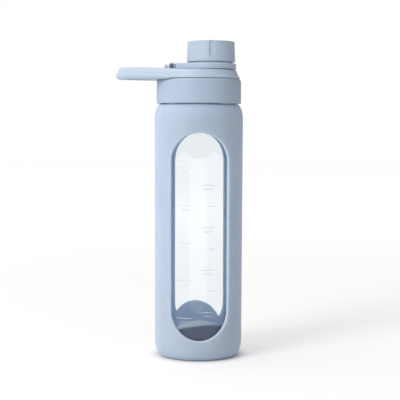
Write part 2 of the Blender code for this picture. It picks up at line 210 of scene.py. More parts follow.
class Recipe(Graph):
    """A material with one Principled shader."""

    def __init__(self, name: str) -> None:
        """Start a material of that name."""
        self.material = bpy.data.materials.new(name)
        self.material.use_nodes = True
        super().__init__(self.material.node_tree)

    def wear(self, values: dict[str, object]) -> bpy.types.Material:
        """Feed the shader's inputs by name, and return the finished material."""
        for name, value in values.items():
            self.feed(self.tree.nodes["Principled BSDF"].inputs[name], value)
        return self.material

    def place(self) -> bpy.types.NodeSocket:
        """Object coordinates, in metres in the frame."""
        return self.node("ShaderNodeTexCoord").outputs["Object"]

    def noise(self, scale: float, detail: float = 2.0, rough: float = 0.5, where: object = None) -> Term:
        """Noise between about 0 and 1 over the object's own place.

        Args:
            scale: waves for each metre.
            detail: octaves.
            rough: how strong the finer octaves are.
            where: a vector socket to read instead of the place.

        Returns:
            The noise value.
        """
        spot = self.place() if where is None else where
        sockets = {"Vector": spot, "Scale": scale, "Detail": detail, "Roughness": rough}
        return self.term("ShaderNodeTexNoise", {}, sockets)

    def relief(self, height: Term, depth: float, strength: float = 1.0,
               under: object = None) -> bpy.types.NodeSocket:
        """A Bump node.

        Args:
            height: the height, 0 to 1.
            depth: metres for a height of 1.
            strength: how much of the bump shows.
            under: another bump's normal to build on.

        Returns:
            The normal.
        """
        sockets = {"Height": height, "Distance": depth, "Strength": strength}
        if under is not None:
            sockets["Normal"] = under
        return self.node("ShaderNodeBump", {}, sockets).outputs["Normal"]


@dataclass(frozen=True)
class SoftTouch:
    """Moulded silicone or satin plastic: fine grain, slight mottling, faint handling marks."""

    name: str
    deep: Colour
    pale: Colour
    rough: float
    rough_swing: float
    grain: float
    grain_depth: float
    specular: float
    sheen: float = 0.0
    lint: float = 0.0
    through: float = 0.0
    lint_colour: Colour = (0.86, 0.88, 0.92)
    wave_depth: float = 0.00012
    spread: Triple = (0.72, 0.85, 1.08)
    spread_scale: float = 0.012

    def shade(self, recipe: Recipe, colour: bpy.types.NodeSocket) -> bpy.types.NodeSocket:
        """Lay painted light and shade on the mottled colour by place; plain finishes leave it."""
        return colour

    def dress(self) -> bpy.types.Material:
        """Build the material.

        Returns:
            The material: base colour mottled between two near shades, roughness varied by soft smears,
            and a bump of moulded grain on a long, faint waviness.
        """
        recipe = Recipe(self.name)
        mottle = recipe.noise(38.0, 3.0, 0.55) * 0.7 + recipe.noise(420.0, 2.0, 0.6) * 0.3
        colour = recipe.mix(mottle.between(0.3, 0.7), self.deep, self.pale)
        if self.lint > 0.0:
            specks = recipe.noise(1900.0, 1.0, 0.4).between(0.74, 0.8) * self.lint
            colour = recipe.mix(specks, colour, self.lint_colour)
        smear = recipe.noise(17.0, 4.0, 0.62).between(0.25, 0.75)
        fine = recipe.noise(self.grain, 2.0, 0.5)
        waves = recipe.relief(recipe.noise(55.0, 1.0, 0.4), self.wave_depth, 0.35)
        return recipe.wear({
            "Base Color": self.shade(recipe, colour),
            "Roughness": smear * self.rough_swing + (self.rough - self.rough_swing / 2) + fine * 0.03,
            "Normal": recipe.relief(fine, self.grain_depth, 0.6, waves),
            "Specular IOR Level": self.specular,
            "Sheen Weight": self.sheen,
            "Sheen Roughness": 0.5,
            "Subsurface Weight": self.through,
            "Subsurface Radius": self.spread,
            "Subsurface Scale": self.spread_scale})


@dataclass(frozen=True)
class SleeveTouch(SoftTouch):
    """The sleeve's silicone, with painted shade on its inner face in the foot, a painted highlight just above
    where the heel's light falls, and a painted highlight on the windows' cut edge.
    """

    rise: float = 13.0 * MM
    reach: float = 11.5 * MM
    heart: float = 28.2 * MM
    swell: float = 6.2 * MM
    sole: Pair = (1.0 * MM, 1.5 * MM)
    foot: float = 15.9 * MM
    foot_lean: float = 0.1
    crest: float = 22.6 * MM
    crest_x: float = 3.4 * MM
    curve: float = 9.6
    # softness of the painted shade's upper edge
    painted_shade_rim: Pair = (-0.2 * MM, 2.4 * MM)
    blur: Pair = (-0.2 * MM, 0.6 * MM)
    fade: Pair = (6.0 * MM, 22.0 * MM)
    faded: float = 0.55
    back: Pair = (8.0 * MM, 14.0 * MM)
    waist: float = 35.67 * MM
    flare: float = 0.0022
    # where the painted highlight on the window's cut edge lies
    edge_start: Pair = (0.2 * MM, 0.7 * MM)
    edge_stop: Pair = (1.8 * MM, 2.2 * MM)
    edge_low: Pair = (13.5 * MM, 14.5 * MM)
    edge_high: Pair = (186.0 * MM, 188.0 * MM)
    edge_side: Pair = (-14.0 * MM, 4.0 * MM)
    # painted shade: the inner foot's colour, standing for the dark heel seen through the glass
    painted_shade: Colour = (0.016, 0.025, 0.052)
    # painted highlight: the crescent's colour, standing for light in the glass heel
    painted_highlight: Colour = (0.68, 0.82, 1.0)
    # painted highlight: the cut edge's colour on the side the key light falls on
    lip: Colour = (0.45, 0.55, 0.76)

    def shade(self, recipe: Recipe, colour: bpy.types.NodeSocket) -> bpy.types.NodeSocket:
        """Paint shade on the inner face in the foot, and a highlight crescent on it just above, at the back.

        The middle of the wall is at radius heart + swell sqrt(1 - d^2), where d is how far the height is
        below rise, as a share of reach; the inner face is inside it. With x across and z up, the painted
        highlight's lower edge, which is also the top of the painted shade, is z = foot + foot_lean x, and its
        upper edge is the parabola z = crest - curve (x - crest_x)^2. The window's cut edge, which lies
        between the outer face at radius waist + flare z and the inner face, is painted paler towards +x as a
        painted highlight where the key light falls on it.

        Args:
            recipe: the material's recipe.
            colour: the mottled colour.

        Returns:
            The colour with the painted shade and highlights laid on by place.
        """
        split = recipe.node("ShaderNodeSeparateXYZ", {}, {0: recipe.place()})
        x, y, z = (Term(recipe, output) for output in split.outputs)
        radius = (x * x + y * y) ** 0.5
        drop = (self.rise - z).at_least(0.0) / self.reach
        middle = (1.0 - drop * drop).at_least(0.0) ** 0.5 * self.swell + self.heart
        # the inner face in the foot, where the painted shade and highlight go
        inner = (middle - radius).between(0.0, 0.3 * MM) * z.between(*self.sole)
        # above the painted shade's upper edge
        over = (z - (x * self.foot_lean + self.foot)).between(*self.painted_shade_rim)
        # the painted highlight's upper edge, a parabola about crest_x
        off = x - self.crest_x
        under = (self.crest - off * off * self.curve - z).between(*self.blur)
        faint = 1.0 - x.between(*self.fade) * self.faded
        # the cut edge's band, painted paler towards +x as a painted highlight
        sunk = z * self.flare + self.waist - radius
        edge = sunk.between(*self.edge_start) * (1.0 - sunk.between(*self.edge_stop))
        span = z.between(*self.edge_low) * (1.0 - z.between(*self.edge_high))
        edge_highlighted = recipe.mix(edge * span * x.between(*self.edge_side), colour, self.lip)
        # painted highlight crescent at the back of the inner face
        lit = recipe.mix(inner * over * under * faint * y.between(*self.back), edge_highlighted, self.painted_highlight)
        # painted shade over the inner face below that edge
        return recipe.mix(inner * (1.0 - over), lit, self.painted_shade)


@dataclass(frozen=True)
class ClearGlass:
    """Clear bottle glass with the slight ripple of a blown wall."""

    name: str = "clear_glass"
    colour: Colour = (0.960, 0.982, 0.992)
    ior: float = 1.5
    glare: float = 0.4
    stretch: Triple = (1.0, 1.0, 0.25)

    def dress(self) -> bpy.types.Material:
        """Build the material: smooth refracting glass, with faint smudges in its roughness."""
        recipe = Recipe(self.name)
        smudge = recipe.noise(30.0, 4.0, 0.6).between(0.55, 0.8)
        ripple = recipe.node("ShaderNodeMapping", {}, {"Vector": recipe.place(), "Scale": self.stretch})
        wave = recipe.noise(60.0, 1.0, 0.3, ripple.outputs["Vector"])
        return recipe.wear({
            "Base Color": self.colour,
            "Roughness": smudge * 0.035 + 0.005,
            "Normal": recipe.relief(wave, 0.25 * MM, 0.2),
            "Transmission Weight": 1.0,
            "IOR": self.ior,
            "Specular IOR Level": self.glare})


@dataclass(frozen=True)
class Ink:
    """Screen-printed ink on glass, slightly uneven."""

    name: str = "scale_ink"
    dark: Colour = (0.42, 0.45, 0.50)
    light: Colour = (0.58, 0.61, 0.66)

    def dress(self) -> bpy.types.Material:
        """Build the material: matt ink whose cover is a little patchy."""
        recipe = Recipe(self.name)
        cover = recipe.noise(900.0, 3.0, 0.6)
        return recipe.wear({
            "Base Color": recipe.mix(cover.between(0.35, 0.65), self.dark, self.light),
            "Roughness": cover * 0.2 + 0.5,
            "Normal": recipe.relief(cover, 0.02 * MM, 0.5)})


@dataclass(frozen=True)
class StudioPaper:
    """The seamless white paper that the bottle stands on, with a painted glow that lights it from below, dark
    round the base as a painted contact shadow.
    """

    name: str = "studio_paper"
    deep: Colour = (0.542, 0.542, 0.544)
    pale: Colour = (0.55, 0.55, 0.55)
    # strength of the painted glow
    painted_glow: float = 0.39
    # painted contact shadow: the glow's colour at the base
    dark: Colour = (0.0, 0.0, 0.0)
    hue: Colour = (0.975, 1.0, 1.03)
    far: Colour = (1.32, 1.36, 1.40)
    # radii in metres over which the painted contact shadow round the base fades out
    painted_shadow_span: Pair = (0.026, 0.044)
    spread: Pair = (0.15, 1.6)

    def dress(self) -> bpy.types.Material:
        """Build the material: white paper with a trace of tooth and a painted glow, dark round the base as a
        painted contact shadow and brighter far off.
        """
        recipe = Recipe(self.name)
        tooth = recipe.noise(260.0, 3.0, 0.6)
        reach = recipe.term("ShaderNodeVectorMath", {"operation": "LENGTH"}, {0: recipe.place()}, "Value")
        # painted contact shadow: the glow is dark round the base
        near = recipe.mix(reach.between(*self.painted_shadow_span), self.dark, self.hue)
        return recipe.wear({
            "Base Color": recipe.mix(tooth, self.deep, self.pale),
            "Roughness": tooth * 0.1 + 0.85,
            "Specular IOR Level": 0.1,
            "Emission Color": recipe.mix(reach.between(*self.spread), near, self.far),
            "Emission Strength": self.painted_glow})


Finish = SoftTouch | ClearGlass | Ink | StudioPaper


@lru_cache(maxsize=None)
def dressed(finish: Finish) -> bpy.types.Material:
    """The material of a finish, made once."""
    return finish.dress()


# ---------------------------------------------------------------------------------------------------
# Surfaces
# ---------------------------------------------------------------------------------------------------


@dataclass
class Surface:
    """Vertices in millimetres and quads, both as whole arrays."""

    points: np.ndarray
    faces: np.ndarray

    def __add__(self, other: "Surface") -> "Surface":
        """Both surfaces as one."""
        faces = np.vstack([self.faces, other.faces + len(self.points)])
        return Surface(np.vstack([self.points, other.points]), faces)

    def piece(self, name: str, finish: Finish, sharp: float = 50.0) -> bpy.types.Object:
        """Write the surface as an object at the origin.

        Args:
            name: the piece's name.
            finish: its finish.
            sharp: the angle in degrees past which an edge stays sharp.

        Returns:
            The object, its doubles merged and its faces pointing out.
        """
        mesh = bpy.data.meshes.new(name)
        mesh.from_pydata((self.points * MM).tolist(), [], self.faces.tolist())
        work = bmesh.new()
        work.from_mesh(mesh)
        bmesh.ops.remove_doubles(work, verts=work.verts, dist=WELD)
        bmesh.ops.recalc_face_normals(work, faces=work.faces)
        work.to_mesh(mesh)
        work.free()
        mesh.materials.append(dressed(finish))
        mesh.shade_smooth()
        mesh.set_sharp_from_angle(angle=math.radians(sharp))
        made = bpy.data.objects.new(name, mesh)
        bpy.context.scene.collection.objects.link(made)
        return made


def sheet(grid: np.ndarray, wrap_rows: bool = False, wrap_columns: bool = True) -> Surface:
    """A surface over a grid of points.

    Args:
        grid: points by row and column, shape (rows, columns, 3).
        wrap_rows: join the last row to the first.
        wrap_columns: join the last column to the first.

    Returns:
        The surface; quad (i, j) joins points (i, j), (i, j+1), (i+1, j+1) and (i+1, j).
    """
    rows, columns = grid.shape[:2]
    index = np.arange(rows * columns).reshape(rows, columns)
    if wrap_rows:
        index = np.vstack([index, index[:1]])
    if wrap_columns:
        index = np.hstack([index, index[:, :1]])
    corners = (index[:-1, :-1], index[:-1, 1:], index[1:, 1:], index[1:, :-1])
    return Surface(grid.reshape(-1, 3), np.stack([corner.ravel() for corner in corners], axis=1))


def turned(profile: np.ndarray, centre: Pair = (0.0, 0.0), closed: bool = False, steps: int = 160,
           angles: np.ndarray | None = None, dent: Dent | None = None) -> Surface:
    """A surface of revolution: (r cos a, r sin a, z) for each profile point (r, z) and angle a.

    Args:
        profile: points (r, z). An open profile starts and ends on the axis, where it closes to a pole.
        centre: x and y of the axis.
        closed: the profile is a loop, as on a ring.
        steps: how many angles.
        angles: the angles to use instead of even ones.
        dent: a function of radius, height and angle that gives a new radius.

    Returns:
        The surface.
    """
    spread = np.linspace(0.0, TURN, steps, endpoint=False) if angles is None else angles
    radius = np.repeat(profile[:, :1], len(spread), axis=1)
    height = np.repeat(profile[:, 1:2], len(spread), axis=1)
    around = np.repeat(spread[None, :], len(profile), axis=0)
    if dent is not None:
        radius = dent(radius, height, around)
    x, y = centre[0] + radius * np.cos(around), centre[1] + radius * np.sin(around)
    return sheet(np.stack([x, y, height], axis=2), wrap_rows=closed)


def rounded(corners: Sequence[Triple], closed: bool = False, steps: int = 7) -> np.ndarray:
    """A line through corners, each eased by its own radius.

    A corner P between points A and B on its two sides, each one radius away, becomes the quadratic
    curve (1-u)^2 A + 2u(1-u) P + u^2 B.

    Args:
        corners: (r, z, radius) for each corner.
        closed: the line is a loop.
        steps: points for each eased corner.

    Returns:
        The points.
    """
    spots = np.array(corners, float)
    places, radii = spots[:, :2], spots[:, 2]
    before, after = np.roll(places, 1, axis=0), np.roll(places, -1, axis=0)
    u = np.linspace(0.0, 1.0, steps)[:, None]
    parts = []
    for index, (place, radius) in enumerate(zip(places, radii)):
        if radius <= 0.0 or (not closed and index in (0, len(places) - 1)):
            parts.append(place[None, :])
            continue
        back, ahead = before[index] - place, after[index] - place
        start = place + back * min(0.49, radius / np.linalg.norm(back))
        end = place + ahead * min(0.49, radius / np.linalg.norm(ahead))
        parts.append((1 - u) ** 2 * start + 2 * u * (1 - u) * place + u**2 * end)
    return np.vstack(parts)


def arc(centre: Pair, radii: Pair, start: float, end: float, steps: int) -> np.ndarray:
    """Points of an elliptic arc: centre + (a cos t, b sin t), with t from start to end in degrees."""
    t = np.radians(np.linspace(start, end, steps + 1))
    return np.column_stack([centre[0] + radii[0] * np.cos(t), centre[1] + radii[1] * np.sin(t)])


def disc(centre: Pair, radius: float) -> np.ndarray:
    """A circle as an anticlockwise loop of 36 points."""
    return arc(centre, (radius, radius), 0, 350, 35)


def sector(inner: float, outer: float, half: float, middle: float, centre: Pair) -> np.ndarray:
    """The plan of a lug: the part of a ring within half of the middle angle, as an anticlockwise loop."""
    angle = np.linspace(-half, half, 15) + middle
    rim = np.column_stack([np.cos(angle), np.sin(angle)])
    return np.vstack([outer * rim, inner * rim[::-1]]) + np.array(centre)


def straight(radius: float, start: float, end: float, count: int) -> np.ndarray:
    """Evenly spaced points up or down a straight wall."""
    return np.column_stack([np.full(count, radius), np.linspace(start, end, count)])


def even(line: np.ndarray, count: int) -> np.ndarray:
    """The same line with count + 1 points evenly spaced along its length."""
    run = np.concatenate([[0.0], np.cumsum(np.linalg.norm(np.diff(line, axis=0), axis=1))])
    spots = np.linspace(0.0, run[-1], count + 1)
    return np.column_stack([np.interp(spots, run, line[:, axis]) for axis in range(line.shape[1])])


def grown(loop: np.ndarray, distance: float) -> np.ndarray:
    """A closed loop of (x, y) points moved out along its normals, for a loop that runs anticlockwise."""
    along = np.roll(loop, -1, axis=0) - np.roll(loop, 1, axis=0)
    along /= np.linalg.norm(along, axis=1)[:, None]
    return loop + distance * np.column_stack([along[:, 1], -along[:, 0]])


def cushion(loop: np.ndarray, low: float, high: float, ease: float, steps: int = 5) -> Surface:
    """An upright body over a plan, with eased top and bottom edges.

    The rows are the plan drawn in by ease (1 - sin t) at height ease (1 - cos t) from each end, and a
    pole in the middle closes each end.

    Args:
        loop: the plan, an anticlockwise loop of (x, y).
        low: the lower height.
        high: the upper height.
        ease: the edge radius.
        steps: rows for each edge.

    Returns:
        The closed surface.
    """
    t = np.linspace(0.0, math.pi / 2, steps)
    inset = ease * (1 - np.sin(t))
    lift = ease * (1 - np.cos(t))
    heart = np.repeat(loop.mean(axis=0)[None, :], len(loop), axis=0)
    plans = [heart] + [grown(loop, -d) for d in inset] + [grown(loop, -d) for d in inset[::-1]] + [heart]
    heights = [low, *(low + lift), *(high - lift[::-1]), high]
    rows = [np.column_stack([plan, np.full(len(loop), z)]) for plan, z in zip(plans, heights)]
    return sheet(np.stack(rows))


def on_side(surface: Surface) -> Surface:
    """A body made over an (x, z) plan, laid on its side so that its height runs along Y."""
    return Surface(surface.points[:, [0, 2, 1]], surface.faces)


def carve(body: bpy.types.Object, finish: Finish, tools: Sequence[tuple[Surface, str]],
          sharp: float = 35.0) -> bpy.types.Object:
    """Join solids to a body or cut them from it, and keep only the result.

    Args:
        body: the piece.
        finish: its finish.
        tools: each solid with UNION or DIFFERENCE, used in order.
        sharp: the angle in degrees past which an edge stays sharp.

    Returns:
        The same object with its new mesh.
    """
    helpers = []
    for surface, operation in tools:
        helpers.append(surface.piece(f"{body.name}.tool", finish))
        cut = body.modifiers.new("carve", "BOOLEAN")
        cut.operation = operation
        cut.object = helpers[-1]
        cut.solver = "MANIFOLD"
    solid = bpy.data.meshes.new_from_object(body.evaluated_get(bpy.context.evaluated_depsgraph_get()))
    body.modifiers.clear()
    body.data = solid
    solid.shade_smooth()
    solid.set_sharp_from_angle(angle=math.radians(sharp))
    for helper in helpers:
        bpy.data.objects.remove(helper, do_unlink=True)
    return body


def settle(piece: bpy.types.Object, body: Body, slot: Slot, *nodes: str) -> bpy.types.Object:
    """Put a finished piece on its body, hide the CAD nodes that it stands for, and log its faces."""
    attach(piece, body.value)
    if nodes:
        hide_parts(*nodes)
    log.info("%s: %d faces on %s", piece.name, len(piece.data.polygons), body.value)
    return piece


def node_size(node: str) -> Triple:
    """Half of a CAD node's width along x, and its lowest and highest heights, in millimetres."""
    low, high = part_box(node)
    return (high[0] - low[0]) / 2 / MM, low[2] / MM, high[2] / MM


# ---------------------------------------------------------------------------------------------------
# Sub-assemblies
# ---------------------------------------------------------------------------------------------------


@dataclass
class Sleeve:
    """The moulded silicone sleeve with its two windows and the round tab in the back one."""

    finish: SoftTouch
    foot: float = 29.2
    foot_rise: float = 13.0
    taper: float = 0.4
    wall: float = 2.6
    floor: float = 3.0
    heel: float = 27.5
    heel_rise: float = 9.5
    groove: Pair = (20.7, 22.8)
    groove_depth: float = 0.8
    shoulder: float = 193.5
    crown: float = 31.2
    mouth: float = 28.6
    throat: float = 191.0
    throat_rise: float = 11.6
    lip_depth: float = 3.2
    window_half: float = 23.2
    window_low: float = 17.0
    window_high: float = 182.6
    tab_radius: float = 24.3
    tab_height: float = 15.5
    tab_turn: float = math.radians(5.7)
    back_turn: float = math.radians(-3.1)
    edge_outer: float = 1.5
    edge_inner: float = 0.5
    edge_band: float = 2.6
    tab_ease: float = 1.3
    band_low: float = 11.0
    band_high: float = 190.0
    across: int = 96
    upright: int = 80

    def __post_init__(self) -> None:
        """Read the outer radius and the height from the CAD node."""
        self.radius, _, self.top = node_size("silicone_sleeve")
        self.bore = self.radius - self.wall

    def outside(self, z: np.ndarray) -> np.ndarray:
        """The outer radius at a height: a foot ellipse, a slight taper, then a shoulder ellipse."""
        waist = self.radius - self.taper
        share = np.clip(1 - ((self.foot_rise - z) / self.foot_rise) ** 2, 0, 1)
        low = self.foot + (waist - self.foot) * np.sqrt(share)
        middle = waist + self.taper * (z - self.foot_rise) / (self.shoulder - self.foot_rise)
        return np.where(z < self.foot_rise, low, np.minimum(middle, self.radius))

    def inside(self, z: np.ndarray) -> np.ndarray:
        """The inner radius at a height, up to the shoulder: a heel ellipse, then straight."""
        drop = np.clip((self.floor + self.heel_rise - z) / self.heel_rise, 0, 1)
        return self.heel + (self.bore - self.heel) * np.sqrt(1 - drop**2)

    def window(self, tab: bool) -> np.ndarray:
        """The window's edge as four runs: right side, top, left side, bottom.

        Across the window the half circles are x = h sin u, z = c -/+ h cos u. In the back window the
        bottom edge is the higher of that half circle and the tab's own circle, eased together where
        they cross.

        Args:
            tab: make the back window.

        Returns:
            A closed anticlockwise loop of (arc length, height) points.
        """
        half, size = self.window_half, self.radius
        low, high = self.window_low + half, self.window_high - half
        u = np.linspace(-math.pi / 2, math.pi / 2, 1201)
        x, z = half * np.sin(u), low - half * np.cos(u)
        if tab:
            reach = size * np.sin(np.arcsin(x / size) - self.tab_turn)
            tab_z = self.tab_height + np.sqrt(np.clip(self.tab_radius**2 - reach**2, 0, None))
            soft = self.tab_ease * np.cos(u)
            z = (z + tab_z + np.sqrt((z - tab_z) ** 2 + soft**2)) / 2
        bottom = np.column_stack([size * np.arcsin(x / size), z])
        x, z = half * np.cos(u + math.pi / 2), high + half * np.sin(u + math.pi / 2)
        top = np.column_stack([size * np.arcsin(np.clip(x / size, -1, 1)), z])
        edge = float(bottom[-1, 0])
        right = np.array([[edge, low], [edge, high]])
        left = np.array([[-edge, high], [-edge, low]])
        runs = ((right, self.upright), (top, self.across), (left, self.upright), (bottom, self.across))
        return np.vstack([even(line, count)[:-1] for line, count in runs])

    def border(self) -> np.ndarray:
        """The half sleeve's border, with as many points as the window's edge in the same four runs."""
        quarter = self.radius * math.pi / 2
        corners = ((quarter, self.band_low), (quarter, self.band_high),
                   (-quarter, self.band_high), (-quarter, self.band_low))
        counts = (self.upright, self.across, self.upright, self.across)
        runs = zip(corners, corners[1:] + corners[:1], counts)
        return np.vstack([even(np.array(ends), count)[:-1] for *ends, count in runs])

    def half_wall(self, facing: float, tab: bool) -> Surface:
        """Half of the sleeve's wall around one window.

        Each column crosses the wall: from the border along the outer face to the window, round the
        eased edge, and back along the inner face. A point is (r cos a, r sin a, z), with a from its
        arc length and r from the outside or inside radius less its depth in the wall.

        Args:
            facing: the angle that the window faces.
            tab: the window is the back one, with the tab, turned a little towards the spout's side.

        Returns:
            The surface, open at the border.
        """
        edge, border = self.window(tab), self.border()
        edge[:, 0] += self.radius * (self.back_turn if tab else 0.0)
        t = np.linspace(0.0, math.pi / 2, 7)
        depth_out = np.concatenate([[0.0], self.edge_outer * (1 - np.cos(t))])
        away_out = np.concatenate([[self.edge_band], self.edge_outer * (1 - np.sin(t))])
        depth_in = np.concatenate([self.wall - self.edge_inner * (1 - np.cos(t[::-1])), [self.wall]])
        away_in = np.concatenate([self.edge_inner * (1 - np.sin(t[::-1])), [self.edge_band]])
        depth = np.concatenate([depth_out, depth_in]) / self.wall
        away = np.concatenate([away_out, away_in])
        edges = [grown(edge, distance) for distance in away]
        share = np.linspace(0.0, 1.0, 13)[:-1]
        out = [border + (edges[0] - border) * part for part in share]
        back = [border + (edges[-1] - border) * part for part in share[::-1]]
        plan = np.stack(out + edges + back)
        deep = np.concatenate([np.zeros(len(share)), depth, np.ones(len(share))])[:, None]
        z = plan[:, :, 1]
        radius = self.outside(z) * (1 - deep) + self.inside(z) * deep
        angle = facing + plan[:, :, 0] / self.radius
        return sheet(np.stack([radius * np.cos(angle), radius * np.sin(angle), z], axis=2))

    def build(self) -> bpy.types.Object:
        """Make the sleeve as one closed body.

        Returns:
            The piece.
        """
        inner, outer = self.groove
        under = rounded([
            (self.foot + 0.6, 0.0, 0.0), (outer + 0.2, 0.0, 0.4), (outer - 0.2, self.groove_depth, 0.3),
            (inner + 0.2, self.groove_depth, 0.3), (inner - 0.2, 0.0, 0.4), (0.0, 0.0, 0.0)])
        climb = -math.degrees(math.asin((self.foot_rise - self.band_low) / self.foot_rise))
        waist = self.radius - self.taper
        sole = arc((self.foot, self.foot_rise), (waist - self.foot, self.foot_rise), climb, -90, 16)
        heel = arc((self.heel, self.floor + self.heel_rise), (self.bore - self.heel, self.heel_rise),
                   -90, -9.1, 10)
        heel[-1] = (float(self.inside(np.array([self.band_low]))[0]), self.band_low)
        crown = arc((self.crown, self.shoulder), (self.radius - self.crown, self.top - self.shoulder),
                    0, 84, 18)
        lip = rounded([(*crown[-1], 0.0), (self.mouth + 0.1, self.top, 0.5),
                       (self.mouth, self.top - self.lip_depth, 0.0)])
        throat = arc((self.mouth, self.throat), (self.bore - self.mouth, self.throat_rise), 90, 0, 12)
        start = [[float(self.outside(np.array([self.band_high]))[0]), self.band_high]]
        end = [[self.bore, self.throat], [self.bore, self.band_high]]
        surface = self.half_wall(-math.pi / 2, False) + self.half_wall(math.pi / 2, True)
        for line in (np.vstack([sole, under[1:]]), np.vstack([[[0.0, self.floor]], heel]),
                     np.vstack([start, crown, lip[1:], throat[:-1], end])):
            surface = surface + turned(line, steps=2 * self.across)
        made = surface.piece("silicone_sleeve_skin", self.finish, 60.0)
        return settle(made, Body.BOTTLE, Slot.SLEEVE, "silicone_sleeve")


@dataclass
class Thread:
    """A multi-start trapezoid thread on a turned wall."""

    lead: float = 9.0
    starts: int = 2
    rise: float = 209.6
    root: float = 1.05
    crest: float = 0.5
    sweep: float = 0.75
    fade: float = 0.075
    begin: float = math.radians(1.7)

    def height(self, z: np.ndarray, angle: np.ndarray) -> np.ndarray:
        """How far the ridge stands up, from 0 to 1.

        The ridge's middle is at rise + lead a / 2 pi, a being the angle past its start, and its height
        is 1 within crest of the middle and falls to 0 at root. Each end fades over fade turns.

        Args:
            z: heights.
            angle: angles.

        Returns:
            The height for each pair.
        """
        total = np.zeros_like(z)
        for start in range(self.starts):
            past = np.mod(angle - self.begin - start * TURN / self.starts, TURN)
            middle = self.rise + self.lead * (past + self.begin) / TURN
            slope = np.clip((self.root - np.abs(z - middle)) / (self.root - self.crest), 0, 1)
            fade = np.clip(np.minimum(past, self.sweep * TURN - past) / (self.fade * TURN), 0, 1)
            total = np.maximum(total, slope * slope * (3 - 2 * slope) * fade)
        return total


@dataclass
class GlassBody:
    """The blown glass bottle: heavy heel, domed floor, shoulder and threaded neck."""

    finish: ClearGlass
    wall: float = 2.55
    foot: float = 3.3
    floor: float = 7.2
    punt: float = 1.3
    punt_radius: float = 20.0
    heel: float = 27.4
    heel_rise: float = 9.5
    cove: float = 9.0
    shoulder: Pair = (28.3, 190.5)
    shoulder_rise: float = 11.5
    crown: Pair = (25.0, 188.0)
    crown_rise: float = 11.8
    neck_low: float = 207.0
    neck: float = 26.0
    neck_bore: float = 23.4
    ridge: float = 1.5

    def __post_init__(self) -> None:
        """Read the radius and height from the CAD node."""
        self.radius, _, self.mouth = node_size("glass_bottle")
        self.thread = Thread()

    def build(self) -> bpy.types.Object:
        """Make the glass as one turned body.

        The outline runs up the outside from the middle of the base, over the mouth and down the inside
        to the middle of the floor; on the neck the thread's height is added to the radius.

        Returns:
            The piece.
        """
        bore, collar = self.radius - self.wall, self.neck_low
        push = np.linspace(0.0, self.punt_radius, 9)
        base = np.column_stack([push, self.foot + self.punt * (1 - (push / self.punt_radius) ** 2) ** 1.5])
        heel = arc((self.heel, self.foot + self.heel_rise), (self.radius - self.heel, self.heel_rise),
                   -90, 0, 16)
        shoulder = arc(self.shoulder, (self.radius - self.shoulder[0], self.shoulder_rise), 0, 84, 14)
        saddle = rounded([(*shoulder[-1], 0.0), (self.neck + 1.2, collar - 4.0, 1.0),
                          (self.neck, collar - 1.8, 1.2), (self.neck, collar, 0.0)])
        mouth = rounded([(self.neck, self.mouth - 1.7, 0.0), (self.neck, self.mouth, 1.1),
                         (self.neck_bore, self.mouth, 1.0), (self.neck_bore, collar - 3.2, 0.0)])
        throat = rounded([(self.neck_bore, collar - 3.4, 0.0), (self.neck_bore, collar - 6.4, 1.6),
                          (self.crown[0] + 2.0, collar - 8.8, 0.0)])
        crown = arc(self.crown, (bore - self.crown[0], self.crown_rise), 68, 0, 14)
        cove = arc((bore - self.cove, self.floor + self.cove), (self.cove, self.cove), 0, -90, 18)
        dome = np.linspace(bore - self.cove - 1.5, 0.0, 12)
        rise = self.punt * (1 - (dome / (bore - self.cove)) ** 2) ** 1.5
        floor = np.column_stack([dome, self.floor + rise])
        profile = np.vstack([
            base, heel, straight(self.radius, 14.0, 189.0, 30), shoulder, saddle[1:],
            straight(self.neck, collar + 0.2, self.mouth - 1.9, 56), mouth, throat[1:], crown,
            straight(bore, 186.0, 17.5, 30), cove, floor])

        def thread(radius: np.ndarray, z: np.ndarray, angle: np.ndarray) -> np.ndarray:
            """Add the thread's height on the neck's outer wall."""
            on_neck = (np.abs(radius - self.neck) < 0.01) & (z > self.neck_low)
            return radius + np.where(on_neck, self.ridge * self.thread.height(z, angle), 0.0)

        made = turned(profile, steps=256, dent=thread).piece("glass_body", self.finish, 180.0)
        return settle(made, Body.BOTTLE, Slot.GLASS, "glass_bottle")


